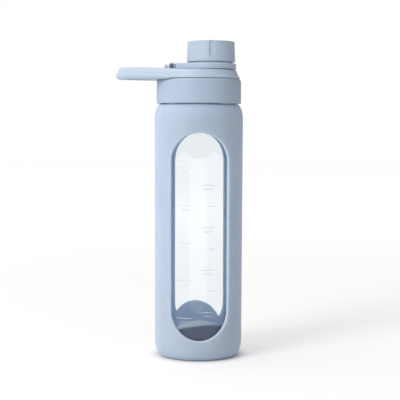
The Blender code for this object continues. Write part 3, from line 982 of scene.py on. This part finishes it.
@dataclass
class VolumeScale:
    """The printed scale: ounces on the left, millilitres on the right."""

    finish: Ink
    first_ml: float = 39.8
    step_ml: float = 33.8
    ml_lines: int = 4
    first_oz: float = 34.9
    step_oz: float = 30.0
    oz_lines: int = 5
    ml_span: Pair = (1.7, 20.7)
    tick_span: Pair = (11.4, 21.4)
    oz_span: Pair = (-33.4, -11.3)
    stroke: float = 0.42
    letters: float = 2.7
    drop: float = 3.1
    lift: float = 0.04
    skin: float = 0.03

    def __post_init__(self) -> None:
        """Read the glass's radius."""
        self.radius = node_size("glass_bottle")[0]

    def bar(self, z: float, span: Pair) -> Surface:
        """A line round the glass: a thin box bent to the radius.

        Args:
            z: its middle height.
            span: start and end angles in degrees from the front.

        Returns:
            The closed surface: four long edges swept over the angle, and an end at each side.
        """
        angle = np.radians(np.linspace(span[0], span[1], 25) - 90.0)
        low, high = self.radius + self.lift, self.radius + self.lift + self.skin
        half = self.stroke / 2
        ring = np.array([(low, z - half), (high, z - half), (high, z + half), (low, z + half)])
        grid = np.stack([
            np.column_stack([r * np.cos(angle), r * np.sin(angle), np.full(len(angle), h)]) for r, h in ring])
        sides = sheet(grid, wrap_rows=True, wrap_columns=False)
        first = np.arange(4) * len(angle)
        return Surface(sides.points, np.vstack([sides.faces, first, first + len(angle) - 1]))

    def words(self, text: str, z: float, middle: float) -> bpy.types.Object:
        """Plain figures wrapped round the glass.

        Args:
            text: what it reads.
            z: the height of its middle.
            middle: its middle angle in degrees from the front.

        Returns:
            A mesh object at the origin: (x, y) of the flat letters become arc length and height.
        """
        curve = bpy.data.curves.new("figures", "FONT")
        curve.body = text
        curve.size = self.letters
        curve.extrude = self.skin / 2
        curve.resolution_u = 3
        curve.align_x = "CENTER"
        curve.align_y = "CENTER"
        flat = bpy.data.objects.new("figures", curve)
        bpy.context.scene.collection.objects.link(flat)
        mesh = bpy.data.meshes.new_from_object(flat.evaluated_get(bpy.context.evaluated_depsgraph_get()))
        bpy.data.objects.remove(flat, do_unlink=True)
        co = np.zeros(len(mesh.vertices) * 3)
        mesh.vertices.foreach_get("co", co)
        co = co.reshape(-1, 3)
        angle = math.radians(middle - 90.0) + co[:, 0] / self.radius
        radius = self.radius + self.lift + self.skin / 2 + co[:, 2]
        bent = np.column_stack([radius * np.cos(angle), radius * np.sin(angle), z + co[:, 1]]) * MM
        mesh.vertices.foreach_set("co", bent.ravel())
        mesh.update()
        made = bpy.data.objects.new("figures", mesh)
        bpy.context.scene.collection.objects.link(made)
        return made

    def build(self) -> bpy.types.Object:
        """Make the whole scale as one piece.

        Returns:
            The piece.
        """
        ml = [(self.first_ml + i * self.step_ml, f"{100 * (i + 1)} ml") for i in range(self.ml_lines)]
        oz = [(self.first_oz + i * self.step_oz, f"{3 * (i + 1)} oz") for i in range(self.oz_lines)]
        bars = [self.bar(z, self.ml_span) for z, _ in ml] + [self.bar(z, self.oz_span) for z, _ in oz]
        bars += [self.bar(z + self.step_ml / 2, self.tick_span) for z, _ in ml[:-1]]
        surface = bars[0]
        for bar in bars[1:]:
            surface = surface + bar
        made = surface.piece("volume_scale", self.finish, 30.0)
        marks = [self.words(text, z - self.drop, sum(self.ml_span) / 2 + 0.4) for z, text in ml]
        marks += [self.words(text, z - self.drop, sum(self.oz_span) / 2 + 1.0) for z, text in oz]
        work = bmesh.new()
        work.from_mesh(made.data)
        for mark in marks:
            work.from_mesh(mark.data)
            bpy.data.objects.remove(mark, do_unlink=True)
        bmesh.ops.remove_doubles(work, verts=work.verts, dist=1e-7)
        work.to_mesh(made.data)
        work.free()
        return settle(made, Body.BOTTLE, Slot.GLASS)


@dataclass
class Lid:
    """The screw lid: collar, threaded core, gasket, spout, and the handle with its hinge ears."""

    outer: SoftTouch
    # the collar's finish, a darker copy of the lid plastic as painted shade
    skirt: SoftTouch
    # the handle's and tether's finish, a lighter copy of the lid plastic as painted light
    arm: SoftTouch
    # the pin's finish, dark as painted shade of the gaps round the hinge
    shaded_pin: SoftTouch
    inner: SoftTouch
    seal: SoftTouch
    collar_bore: float = 30.7
    core_bore: float = 28.2
    deck: float = 223.3
    ring: float = 33.5
    tip_x: float = -67.7
    tip: float = 13.0
    handle_low: float = 225.2
    handle_lift: float = 2.0
    climb: Pair = (-10.0, -50.0)
    ring_top: float = 233.2
    plate: float = 229.8
    hollow: float = 28.5
    hole_near: float = -38.0
    hole_far: float = -58.2
    hole_half: float = 14.2
    hole_power: float = 2.8
    spout_x: float = 9.8
    spout: float = 13.2
    spout_bore: float = 11.2
    flange: float = 17.8
    lug: float = 15.2
    lug_half: float = math.radians(20)
    lug_span: Pair = (241.3, 243.8)
    pin_x: float = -22.2
    pin_z: float = 236.4
    pin: float = 1.0
    knuckle: float = 2.3
    ear: float = 2.75
    head: float = 1.5
    ear_in: float = 6.4
    ear_out: float = 9.3
    slack: float = 0.12
    gap: float = 0.3
    tuck: float = 0.2
    ridge: float = 1.6
    turn_in: float = math.radians(102.95)

    def __post_init__(self) -> None:
        """Read what the CAD nodes give."""
        self.collar, low, self.collar_top = node_size("lid_collar")
        self.collar_low = low - self.tuck
        self.spout_top = node_size("drinking_spout")[2]
        self.core_low = self.collar_low - 0.1
        self.spout_place, self.pin_place = (self.spout_x, 0.0), (self.pin_x, self.pin_z)

    def build_collar(self) -> bpy.types.Object:
        """The outer skirt: a ring with a broadly eased top edge."""
        profile = rounded([
            (self.collar_bore, self.collar_low, 0.4), (self.collar, self.collar_low, 0.7),
            (self.collar, self.collar_top, 3.0), (self.collar_bore, self.collar_top, 0.4)],
            closed=True, steps=12)
        made = turned(profile, closed=True, steps=200).piece("collar_skirt", self.skirt, 60.0)
        return settle(made, Body.LID, Slot.LID, "lid_collar")

    def build_core(self) -> bpy.types.Object:
        """The inner lid: its bore carries a thread that runs between the glass's ridges."""
        bore, edge = self.core_bore, self.collar_bore - self.gap
        roof = rounded([(0.0, self.deck, 0.0), (bore, self.deck, 1.0), (bore, self.deck - 1.1, 0.0)])
        rim = rounded([
            (bore, self.core_low + 0.6, 0.0), (bore, self.core_low, 0.5), (edge, self.core_low, 0.5),
            (edge, self.collar_top, 0.4), (0.0, self.collar_top, 0.0)])
        thread = Thread(rise=Thread.rise - Thread.lead / 4, sweep=0.45, begin=self.turn_in)

        def cut(radius: np.ndarray, z: np.ndarray, angle: np.ndarray) -> np.ndarray:
            """Bring the bore in by the thread's height."""
            on_bore = (np.abs(radius - bore) < 0.01) & (z > self.core_low + 0.65) & (z < self.deck - 1.15)
            return radius - np.where(on_bore, self.ridge * thread.height(z, angle), 0.0)

        profile = np.vstack([roof, straight(bore, self.deck - 1.2, self.core_low + 0.7, 64), rim])
        made = turned(profile, steps=200, dent=cut).piece("threaded_core", self.inner, 40.0)
        hole = np.array([
            (0.0, 215.0), (self.spout_bore + 8, 215.0), (self.spout_bore + 0.8, self.deck - 0.1),
            (self.spout_bore, self.deck + 0.7), (self.spout_bore, 240.0), (0.0, 240.0)])
        carve(made, self.inner, [(turned(hole, self.spout_place, steps=96), "DIFFERENCE")])
        return settle(made, Body.LID, Slot.INNER, "lid_core")

    def build_gasket(self) -> bpy.types.Object:
        """The soft ring on the glass mouth, with a bead along its inner edge."""
        outer, base, top = node_size("lid_gasket")
        inner, waist = outer - 5.2, outer - 2.8
        profile = rounded([
            (inner, base, 0.4), (waist, base + 0.15, 0.6), (outer, base, 0.5), (outer, top, 0.5),
            (waist, top - 0.15, 0.6), (inner, top, 0.4)], closed=True)
        made = turned(profile, closed=True, steps=160).piece("mouth_gasket", self.seal, 60.0)
        return settle(made, Body.SEAL, Slot.SEAL, "lid_gasket")

    def build_spout(self) -> bpy.types.Object:
        """The drinking spout with a softly rolled rim and two locking lugs."""
        foot = self.collar_top + self.gap
        lip = self.spout_top
        profile = rounded([
            (self.spout_bore, foot, 0.3), (self.flange, foot, 0.4), (self.flange, self.plate - self.gap, 0.4),
            (self.spout, self.plate - self.gap, 0.3), (self.spout, lip, 1.1), (self.spout_bore, lip, 0.9)],
            closed=True, steps=9)
        tube = turned(profile, self.spout_place, closed=True, steps=128)
        made = tube.piece("spout_tube", self.outer, 50.0)
        plans = [sector(self.spout - 0.8, self.lug, self.lug_half, middle, self.spout_place)
                 for middle in (0.0, math.pi)]
        carve(made, self.outer, [(cushion(plan, *self.lug_span, 0.3), "UNION") for plan in plans])
        return settle(made, Body.LID, Slot.LID, "drinking_spout")

    def teardrop(self, inset: float) -> np.ndarray:
        """The handle's plan: a large and a small circle with their common tangents, drawn in by inset.

        Args:
            inset: how far in from the widest plan.

        Returns:
            An anticlockwise loop of (x, y).
        """
        far = self.tip_x + self.tip
        lean = math.asin((self.ring - self.tip) / -far)
        wide = np.linspace(-(math.pi / 2 + lean), math.pi / 2 + lean, 121)
        small = np.linspace(math.pi / 2 + lean, 3 * math.pi / 2 - lean, 49)
        big = (self.ring - inset) * np.column_stack([np.cos(wide), np.sin(wide)])
        end = (self.tip - inset) * np.column_stack([np.cos(small), np.sin(small)]) + np.array([far, 0.0])
        loop = np.vstack([big, end, big[:1]])
        return even(loop, 320)[:-1]

    def rise(self, x: np.ndarray) -> np.ndarray:
        """How far the handle climbs towards its tip: a smooth step between the two x of climb."""
        start, end = self.climb
        part = np.clip((start - x) / (start - end), 0, 1)
        return self.handle_lift * part * part * (3 - 2 * part)

    def handle_body(self) -> Surface:
        """The teardrop body: each row is the plan at an inset and height read off a rounded side line."""
        low, top = self.handle_low, self.ring_top
        side = rounded([(4.4, low, 0.0), (1.4, low + 0.1, 1.0), (-0.1, low + 1.6, 1.0), (2.1, low + 5.1, 2.0),
                        (3.0, top, 0.5), (4.4, top, 0.0)], steps=9)
        share = np.interp(side[:, 1], [low, low + 0.7, low + 1.6, top], [0.2, 0.4, 1.0, 1.0])
        rims = [(12.0, low, 0.2), *zip(side[:, 0], side[:, 1], share), (12.0, top, 1.0)]
        rows = []
        for inset, z, part in rims:
            plan = self.teardrop(inset)
            rows.append(np.column_stack([plan, z + part * self.rise(plan[:, 0])]))
        heart = np.full((len(rows[0]), 1), self.tip_x + self.tip + 18.0)
        lift = self.rise(heart)
        poles = [np.hstack([heart, 0.0 * heart, z + part * lift]) for _, z, part in (rims[0], rims[-1])]
        return sheet(np.stack([poles[0], *rows, poles[1]]))

    def finger_hole(self) -> Surface:
        """The cutter for the finger hole: a rounded D that flares at the top and bottom faces."""
        angle = np.linspace(0.0, TURN, 120, endpoint=False)
        c, s = np.cos(angle), np.sin(angle)
        x = np.sign(c) * np.abs(c) ** (2 / self.hole_power)
        y = np.sign(s) * np.abs(s) ** (2 / self.hole_power)
        middle = (self.hole_near + self.hole_far) / 2
        half = (self.hole_near - self.hole_far) / 2
        line = [(222.0, 7.0), (225.4, 2.6), (226.0, 1.6), (226.9, 0.7), (228.2, 0.1), (229.5, 0.0),
                (232.6, 0.0), (233.6, 0.15), (234.3, 0.5), (234.9, 1.05), (235.3, 1.8),
                (238.0, 8.0)]
        rows = [np.column_stack([np.full(120, middle), np.zeros(120), np.full(120, line[0][0])])]
        for z, grow in line:
            side = (self.hole_half + grow) * y * (0.8 + 0.2 * x)
            plan = np.column_stack([middle + (half + grow) * x, side])
            rows.append(np.column_stack([plan, np.full(120, z)]))
        rows.append(np.column_stack([np.full(120, middle), np.zeros(120), np.full(120, line[-1][0])]))
        return sheet(np.stack(rows))

    def tether_seat(self) -> list[tuple[Surface, str]]:
        """The cutters that clear the shoulder's top under the tether's ring and under its knuckle."""
        floor = node_size("cap_tether")[1] - self.gap
        near, far = self.pin_x - self.knuckle - self.gap, self.pin_x + 6.0
        side = self.ear_in
        corners = [(near, -side), (far, -side), (far, side), (near, side), (near, -side)]
        under = even(np.array(corners), 80)[:-1]
        ring = grown(Tether(self.arm, self).plan(), self.gap)
        return [(cushion(plan, floor, floor + 12.0, 0.05), "DIFFERENCE") for plan in (ring, under)]

    def build_handle(self) -> bpy.types.Object:
        """The shoulder ring and carry loop, with ears and stop, cut for the spout, core and pin."""
        made = self.handle_body().piece("handle_moulding", self.arm, 40.0)
        ear = np.vstack([[[self.pin_x - self.ear, 231.0], [self.pin_x + self.ear, 231.0]],
                         arc(self.pin_place, (self.ear, self.ear), 0, 180, 32)])
        stop = rounded([(-28.6, 231.0, 0.0), (-25.3, 231.0, 0.0), (-25.3, 236.0, 0.8), (-26.2, 238.1, 0.6),
                        (-26.8, 238.1, 0.7), (-28.4, 235.6, 1.2)], closed=True)
        step, rim = self.collar_top + self.gap, self.collar + 0.4
        seat = np.array([(0.0, 215.0), (rim, 215.0), (rim, step), (0.0, step)])
        hollow = np.array([(0.0, 220.0), (self.hollow, 220.0), (self.hollow, self.plate), (0.0, self.plate)])
        near, far = self.spout + self.gap, self.spout + 1.3
        way = np.array([(0.0, 220.0), (near, 220.0), (near, 232.7), (far, 233.8), (far, 240.0), (0.0, 240.0)])
        shank, head = (disc(self.pin_place, size) for size in (self.pin + self.slack, self.head + 0.4))
        sink = self.ear_out - 0.9
        carve(made, self.arm, [
            (self.finger_hole(), "DIFFERENCE"),
            *self.tether_seat(),
            (on_side(cushion(ear, -self.ear_out, -self.ear_in, 0.35)), "UNION"),
            (on_side(cushion(ear, self.ear_in, self.ear_out, 0.35)), "UNION"),
            (on_side(cushion(stop, -self.ear_out, self.ear_out, 0.4)), "UNION"),
            (turned(seat, steps=200), "DIFFERENCE"),
            (turned(hollow, steps=160), "DIFFERENCE"),
            (turned(way, self.spout_place, steps=128), "DIFFERENCE"),
            (on_side(cushion(shank, -12.0, 12.0, 0.05)), "DIFFERENCE"),
            (on_side(cushion(head, -12.0, -sink, 0.05)), "DIFFERENCE"),
            (on_side(cushion(head, sink, 12.0, 0.05)), "DIFFERENCE")])
        return settle(made, Body.LID, Slot.LID, "carry_handle")

    def build_pin(self) -> bpy.types.Object:
        """The hinge pin: a rod with a domed head sunk in each ear."""
        rod, head = (disc(self.pin_place, size) for size in (self.pin, self.head))
        end = self.ear_out - 0.1
        # the pin's finish is dark as painted shade of the hinge gaps
        made = on_side(cushion(rod, -end + 0.2, end - 0.2, 0.1)).piece("hinge_pin_rod", self.shaded_pin)
        heads = [(on_side(cushion(head, low, low + 0.7, 0.3)), "UNION") for low in (-end, end - 0.7)]
        carve(made, self.shaded_pin, heads)
        return settle(made, Body.LID, Slot.LID, "hinge_pin")

    def build(self) -> None:
        """Make every piece of the lid."""
        self.build_collar()
        self.build_core()
        self.build_gasket()
        self.build_spout()
        self.build_handle()
        self.build_pin()


@dataclass
class Tether:
    """The ring and arm that hold the cap."""

    finish: SoftTouch
    lid: Lid
    ring: float = 20.5
    bore: float = 17.6
    recess: float = 18.9
    recess_top: float = 235.9
    ease: float = 0.7
    knuckle_root: float = 5.3

    def plan(self) -> np.ndarray:
        """The ring's circle with tangents to the wide end of the arm, as an anticlockwise loop."""
        lid = self.lid
        near = lid.pin_x + lid.knuckle + 0.7
        reach = math.hypot(near - lid.spout_x, lid.ear_out)
        touch = math.atan2(lid.ear_out, near - lid.spout_x) - math.acos(self.ring / reach)
        angle = np.linspace(-touch, touch, 120)
        wide = np.column_stack([lid.spout_x + self.ring * np.cos(angle), self.ring * np.sin(angle)])
        out = lid.ear_out
        ends = rounded([(*wide[-1], 0.0), (near, out, 1.0), (near, -out, 1.0), (*wide[0], 0.0)])
        return even(np.vstack([wide, ends[1:]]), 260)[:-1]

    def build(self) -> bpy.types.Object:
        """Make the tether: plan, knuckle, stepped bore for the liner and bore for the pin."""
        lid = self.lid
        _, base, top = node_size("cap_tether")
        made = cushion(self.plan(), base, top, self.ease, 6).piece("tether_moulding", self.finish, 40.0)
        root = lid.pin_x + self.knuckle_root
        knuckle = np.vstack([
            arc(lid.pin_place, (lid.knuckle, lid.knuckle), 90, 270, 28),
            [[root, lid.pin_z - lid.knuckle], [root, lid.pin_z + lid.knuckle]]])
        half, wide = lid.ear_in - lid.gap, self.bore + 0.5
        upper = np.array([
            (0.0, 230.0), (self.bore, 230.0), (self.bore, top - 0.4), (wide, top + 0.1), (wide, 245.0),
            (0.0, 245.0)])
        lower = np.array([
            (0.0, 230.0), (self.recess, 230.0), (self.recess, self.recess_top), (0.0, self.recess_top)])
        carve(made, self.finish, [
            (on_side(cushion(knuckle, -half, half, 0.4)), "UNION"),
            (turned(upper, lid.spout_place, steps=128), "DIFFERENCE"),
            (turned(lower, lid.spout_place, steps=128), "DIFFERENCE"),
            (on_side(cushion(disc(lid.pin_place, lid.pin + lid.slack), -12.0, 12.0, 0.05)), "DIFFERENCE")])
        return settle(made, Body.TETHER, Slot.LID, "cap_tether")


@dataclass
class Cap:
    """The swing-away cap: gripped shell, inner cup with locking lugs, and soft seal."""

    outer: SoftTouch
    inner: SoftTouch
    seal: SoftTouch
    lid: Lid
    top_radius: float = 19.1
    bore: float = 17.6
    roof: float = 1.8
    grooves: int = 4
    groove_half: float = 2.0
    groove_depth: float = 0.9
    groove_low: float = 244.3
    liner_bore: float = 16.2
    liner_roof: float = 1.6
    flange: float = 18.6
    flange_top: float = 235.6
    lug: float = 14.4
    lug_span: Pair = (238.3, 240.8)
    seam: float = 0.95

    def __post_init__(self) -> None:
        """Read what the CAD node gives."""
        self.radius, low, self.top = node_size("cap_shell")
        self.low = low + self.seam
        self.groove = self.groove_half / self.top_radius

    def groove_angles(self) -> np.ndarray:
        """Even angles, with many more on both walls of each groove."""
        steps = ((-1.35, -0.75, 9), (0.75, 1.35, 9), (-0.6, 0.6, 5))
        walls = np.concatenate([np.linspace(*step) for step in steps]) * self.groove
        middles = -math.pi / 2 + TURN * np.arange(self.grooves) / self.grooves
        dense = (middles[:, None] + walls[None, :]).ravel()
        plain = np.linspace(0.0, TURN, 160, endpoint=False)
        away = np.min(np.abs((plain[:, None] - middles[None, :] + math.pi) % TURN - math.pi), axis=1)
        return np.sort(np.mod(np.concatenate([plain[away > 1.4 * self.groove], dense]), TURN))

    def build_shell(self) -> bpy.types.Object:
        """The shell: a tapered cup whose wall is set back in each grip groove.

        In a groove the radius loses groove_depth times a smooth step across its walls and a smooth
        step up from its lower end.

        Returns:
            The piece.
        """
        low, start, top = self.low, self.groove_low, self.top
        runs = ((low + 1.0, start - 0.6, 8), (start - 0.45, start + 0.45, 9), (start + 0.8, top - 1.6, 8))
        climb = np.concatenate([np.linspace(*run) for run in runs])
        slope = (self.radius - self.top_radius) / (top - low)
        side = np.column_stack([self.radius - slope * (climb - low), climb])
        foot = rounded([(self.bore, top - self.roof, 0.0), (self.bore, low, 0.3), (self.radius, low, 0.35),
                        (self.radius - slope, low + 0.9, 0.0)])
        crown = rounded([(self.top_radius + 0.08, top - 1.5, 0.0), (self.top_radius, top, 1.3),
                         (self.top_radius - 3.2, top, 0.0)], steps=10)
        lid_top = np.column_stack([np.linspace(self.top_radius - 4.0, 0.0, 10), np.full(10, top)])
        roof = np.column_stack([np.linspace(0.0, self.bore - 0.4, 6), np.full(6, top - self.roof)])
        profile = np.vstack([roof, foot, side, crown, lid_top])

        def set_back(radius: np.ndarray, z: np.ndarray, angle: np.ndarray) -> np.ndarray:
            """Take the grooves out of the outer wall."""
            period = TURN / self.grooves
            off = np.abs(np.mod(angle + math.pi / 2 + period / 2, period) - period / 2)
            across = np.clip((1.12 * self.groove - off) / (0.24 * self.groove), 0, 1)
            up = np.clip((z - start + 0.35) / 0.7, 0, 1)
            depth = self.groove_depth * across**2 * (3 - 2 * across) * up**2 * (3 - 2 * up)
            return radius - np.where((radius > self.bore + 0.6) & (z > low + 1.0), depth, 0.0)

        surface = turned(profile, self.lid.spout_place, angles=self.groove_angles(), dent=set_back)
        return settle(surface.piece("cap_grip", self.outer, 50.0), Body.CAP, Slot.LID, "cap_shell")

    def build_liner(self) -> bpy.types.Object:
        """The inner cup with its flange and its two locking lugs."""
        _, base, roof = node_size("cap_liner")
        outer, under = self.bore - self.lid.gap, roof - self.liner_roof
        profile = rounded([
            (0.0, under, 0.0), (self.liner_bore, under, 0.8), (self.liner_bore, base, 0.3),
            (self.flange, base, 0.4), (self.flange, self.flange_top, 0.3), (outer, self.flange_top, 0.3),
            (outer, roof, 0.6), (0.0, roof, 0.0)])
        made = turned(profile, self.lid.spout_place, steps=128).piece("cap_cup", self.inner, 45.0)
        plans = [sector(self.lug, self.liner_bore + 0.6, self.lid.lug_half, middle, self.lid.spout_place)
                 for middle in (-math.pi / 2, math.pi / 2)]
        carve(made, self.inner, [(cushion(plan, *self.lug_span, 0.3), "UNION") for plan in plans])
        return settle(made, Body.CAP, Slot.INNER, "cap_liner")

    def build_seal(self) -> bpy.types.Object:
        """The soft disc that closes the spout, with a shallow ring pressed by the rim."""
        outer, base, top = node_size("cap_seal")
        profile = rounded([
            (0.0, base + 0.1, 0.0), (10.6, base + 0.1, 0.4), (11.0, base, 0.3), (13.4, base, 0.3),
            (13.9, base + 0.2, 0.3), (outer, base + 0.2, 0.3), (outer, top, 0.3), (0.0, top, 0.0)])
        made = turned(profile, self.lid.spout_place, steps=120).piece("spout_seal", self.seal, 50.0)
        return settle(made, Body.CAP, Slot.SEAL, "cap_seal")

    def build(self) -> None:
        """Make every piece of the cap."""
        self.build_shell()
        self.build_liner()
        self.build_seal()


@dataclass
class Studio:
    """White paper, soft light from the left and the camera."""

    paper: StudioPaper
    turn: float = math.radians(1.8)
    distance: float = 911.0
    height: float = 185.5
    aside: float = 1.23
    pitch: float = math.radians(3.64)
    lens: float = 100.0
    sensor: float = 36.0
    roll: float = math.radians(0.2)
    flag: float = 0.8
    bounces: int = 32
    key_side: Triple = (-0.83, -0.25, 0.5)
    key: Colour = (1.32, 1.26, 1.21)
    fill: Colour = (0.02, 0.025, 0.04)
    white: Colour = (1.0, 1.0, 1.0)
    black: Colour = (0.0, 0.0, 0.0)
    floor_half: float = 6000.0
    floor_drop: float = 0.05
    lamp_place: Triple = (-1.3, -1.3, 1.25)
    lamp_aim: Triple = (0.0, 0.0, 0.12)
    lamp_size: float = 0.8
    lamp_power: float = 26.0

    def camera(self) -> None:
        """Place the camera in front of the bottle, a little above its middle, looking slightly down."""
        back = Vector((-math.sin(self.turn), -math.cos(self.turn), 0.0))
        right = Vector((math.cos(self.turn), -math.sin(self.turn), 0.0))
        data = bpy.data.cameras.new("camera")
        data.lens = self.lens
        data.sensor_width = self.sensor
        data.clip_start = 0.01
        made = bpy.data.objects.new("camera", data)
        made.location = (back * self.distance + right * self.aside + Vector((0, 0, self.height))) * MM
        look = -back * math.cos(self.pitch) + Vector((0, 0, -math.sin(self.pitch)))
        level = look.to_track_quat("-Z", "Y")
        made.rotation_euler = (level @ Quaternion((0.0, 0.0, 1.0), self.roll)).to_euler()
        bpy.context.scene.collection.objects.link(made)
        bpy.context.scene.camera = made

    def floor(self) -> None:
        """A wide paper floor just under the base."""
        side = np.linspace(-self.floor_half, self.floor_half, 3)
        x, y = np.meshgrid(side, side)
        grid = np.stack([x, y, np.full_like(x, -self.floor_drop)], axis=2)
        sheet(grid, wrap_columns=False).piece("paper_floor", self.paper)

    def lamp(self) -> None:
        """A square area lamp at the front left, aimed at the bottle's middle."""
        data = bpy.data.lights.new("key", "AREA")
        data.energy = self.lamp_power
        data.size = self.lamp_size
        made = bpy.data.objects.new("key", data)
        made.location = self.lamp_place
        aim = Vector(self.lamp_aim) - Vector(self.lamp_place)
        made.rotation_euler = aim.to_track_quat("-Z", "Y").to_euler()
        bpy.context.scene.collection.objects.link(made)

    def sky(self) -> None:
        """Soft light all round: warm and strong from the left, cool and weak from the right.

        Its strength and tint run evenly with the direction's reach towards the key side, and it is
        dimmed behind the camera in mirror reflections, as a flag there does. To the eye, and through
        the glass away from the camera, it is plain white.
        """
        world = bpy.data.worlds.new("studio")
        bpy.context.scene.world = world
        world.use_nodes = True
        graph = Graph(world.node_tree)
        toward = graph.node("ShaderNodeTexCoord").outputs["Generated"]
        reach = graph.term(
            "ShaderNodeVectorMath", {"operation": "DOT_PRODUCT"}, {0: toward, 1: self.key_side}, "Value")
        away = graph.term("ShaderNodeSeparateXYZ", {}, {0: toward}, "Y")
        rays = graph.node("ShaderNodeLightPath").outputs
        eye, through, depth = (
            Term(graph, rays[name]) for name in ("Is Camera Ray", "Is Transmission Ray", "Diffuse Depth"))
        wash = graph.mix(reach.between(-1.0, 1.0, "LINEAR"), self.fill, self.key)
        flagged = depth.below(0.5) * (away.between(0.0, -0.3, "LINEAR") * self.flag)
        seen = eye.at_least(away.between(-0.3, 0.0, "LINEAR") * through)
        plain = graph.mix(seen, graph.mix(flagged, wash, self.black), self.white)
        graph.feed(world.node_tree.nodes["Background"].inputs["Color"], plain)

    def build(self) -> None:
        """Set up the whole studio."""
        self.camera()
        self.floor()
        self.sky()
        self.lamp()
        bpy.context.scene.view_settings.view_transform = "Standard"
        bpy.context.scene.cycles.max_bounces = self.bounces
        bpy.context.scene.cycles.transmission_bounces = self.bounces


SLEEVE_SILICONE = SleeveTouch(
    "sleeve_silicone", (0.338, 0.412, 0.550), (0.358, 0.432, 0.572), rough=0.55, rough_swing=0.08,
    grain=5200.0, grain_depth=0.04 * MM, specular=0.35, sheen=0.08, lint=0.05, through=1.0)
LID_PLASTIC = SoftTouch(
    "lid_plastic", (0.322, 0.400, 0.500), (0.338, 0.417, 0.520), rough=0.46, rough_swing=0.07, grain=6400.0,
    grain_depth=0.03 * MM, specular=0.4, sheen=0.04)
# painted shade: the collar's copy of the lid plastic, darker for the shade on its side
COLLAR_PLASTIC_SHADED = replace(
    LID_PLASTIC, name="collar_plastic_shaded", deep=(0.296, 0.371, 0.478), pale=(0.311, 0.387, 0.497))
# painted light: the handle's and tether's copy, lighter for the light on their upward faces
ARM_PLASTIC_LIT = replace(LID_PLASTIC, name="arm_plastic_lit", deep=(0.348, 0.428, 0.532), pale=(0.365, 0.446, 0.553))
# painted shade: the pin is dark for the shade in the hinge's gaps
HINGE_PIN_SHADE = SoftTouch(
    "hinge_pin", (0.085, 0.110, 0.160), (0.10, 0.13, 0.18), rough=0.4, rough_swing=0.05, grain=6400.0,
    grain_depth=0.03 * MM, specular=0.4)
INNER_PLASTIC = SoftTouch(
    "inner_plastic", (0.50, 0.59, 0.70), (0.53, 0.62, 0.73), rough=0.42, rough_swing=0.08, grain=4200.0,
    grain_depth=0.02 * MM, specular=0.45)
SEAL_SILICONE = SoftTouch(
    "seal_silicone", (0.74, 0.77, 0.80), (0.79, 0.81, 0.84), rough=0.5, rough_swing=0.1, grain=3800.0,
    grain_depth=0.03 * MM, specular=0.4, sheen=0.1)


def main() -> None:
    """Build the bottle from the base up, then the studio."""
    Sleeve(SLEEVE_SILICONE).build()
    GlassBody(ClearGlass()).build()
    VolumeScale(Ink()).build()
    lid = Lid(LID_PLASTIC, COLLAR_PLASTIC_SHADED, ARM_PLASTIC_LIT, HINGE_PIN_SHADE, INNER_PLASTIC, SEAL_SILICONE)
    lid.build()
    Tether(ARM_PLASTIC_LIT, lid).build()
    Cap(LID_PLASTIC, INNER_PLASTIC, SEAL_SILICONE, lid).build()
    Studio(StudioPaper()).build()


if __name__ == "__main__":
    logging.basicConfig(level=logging.INFO, format="%(name)s: %(message)s")
    main()
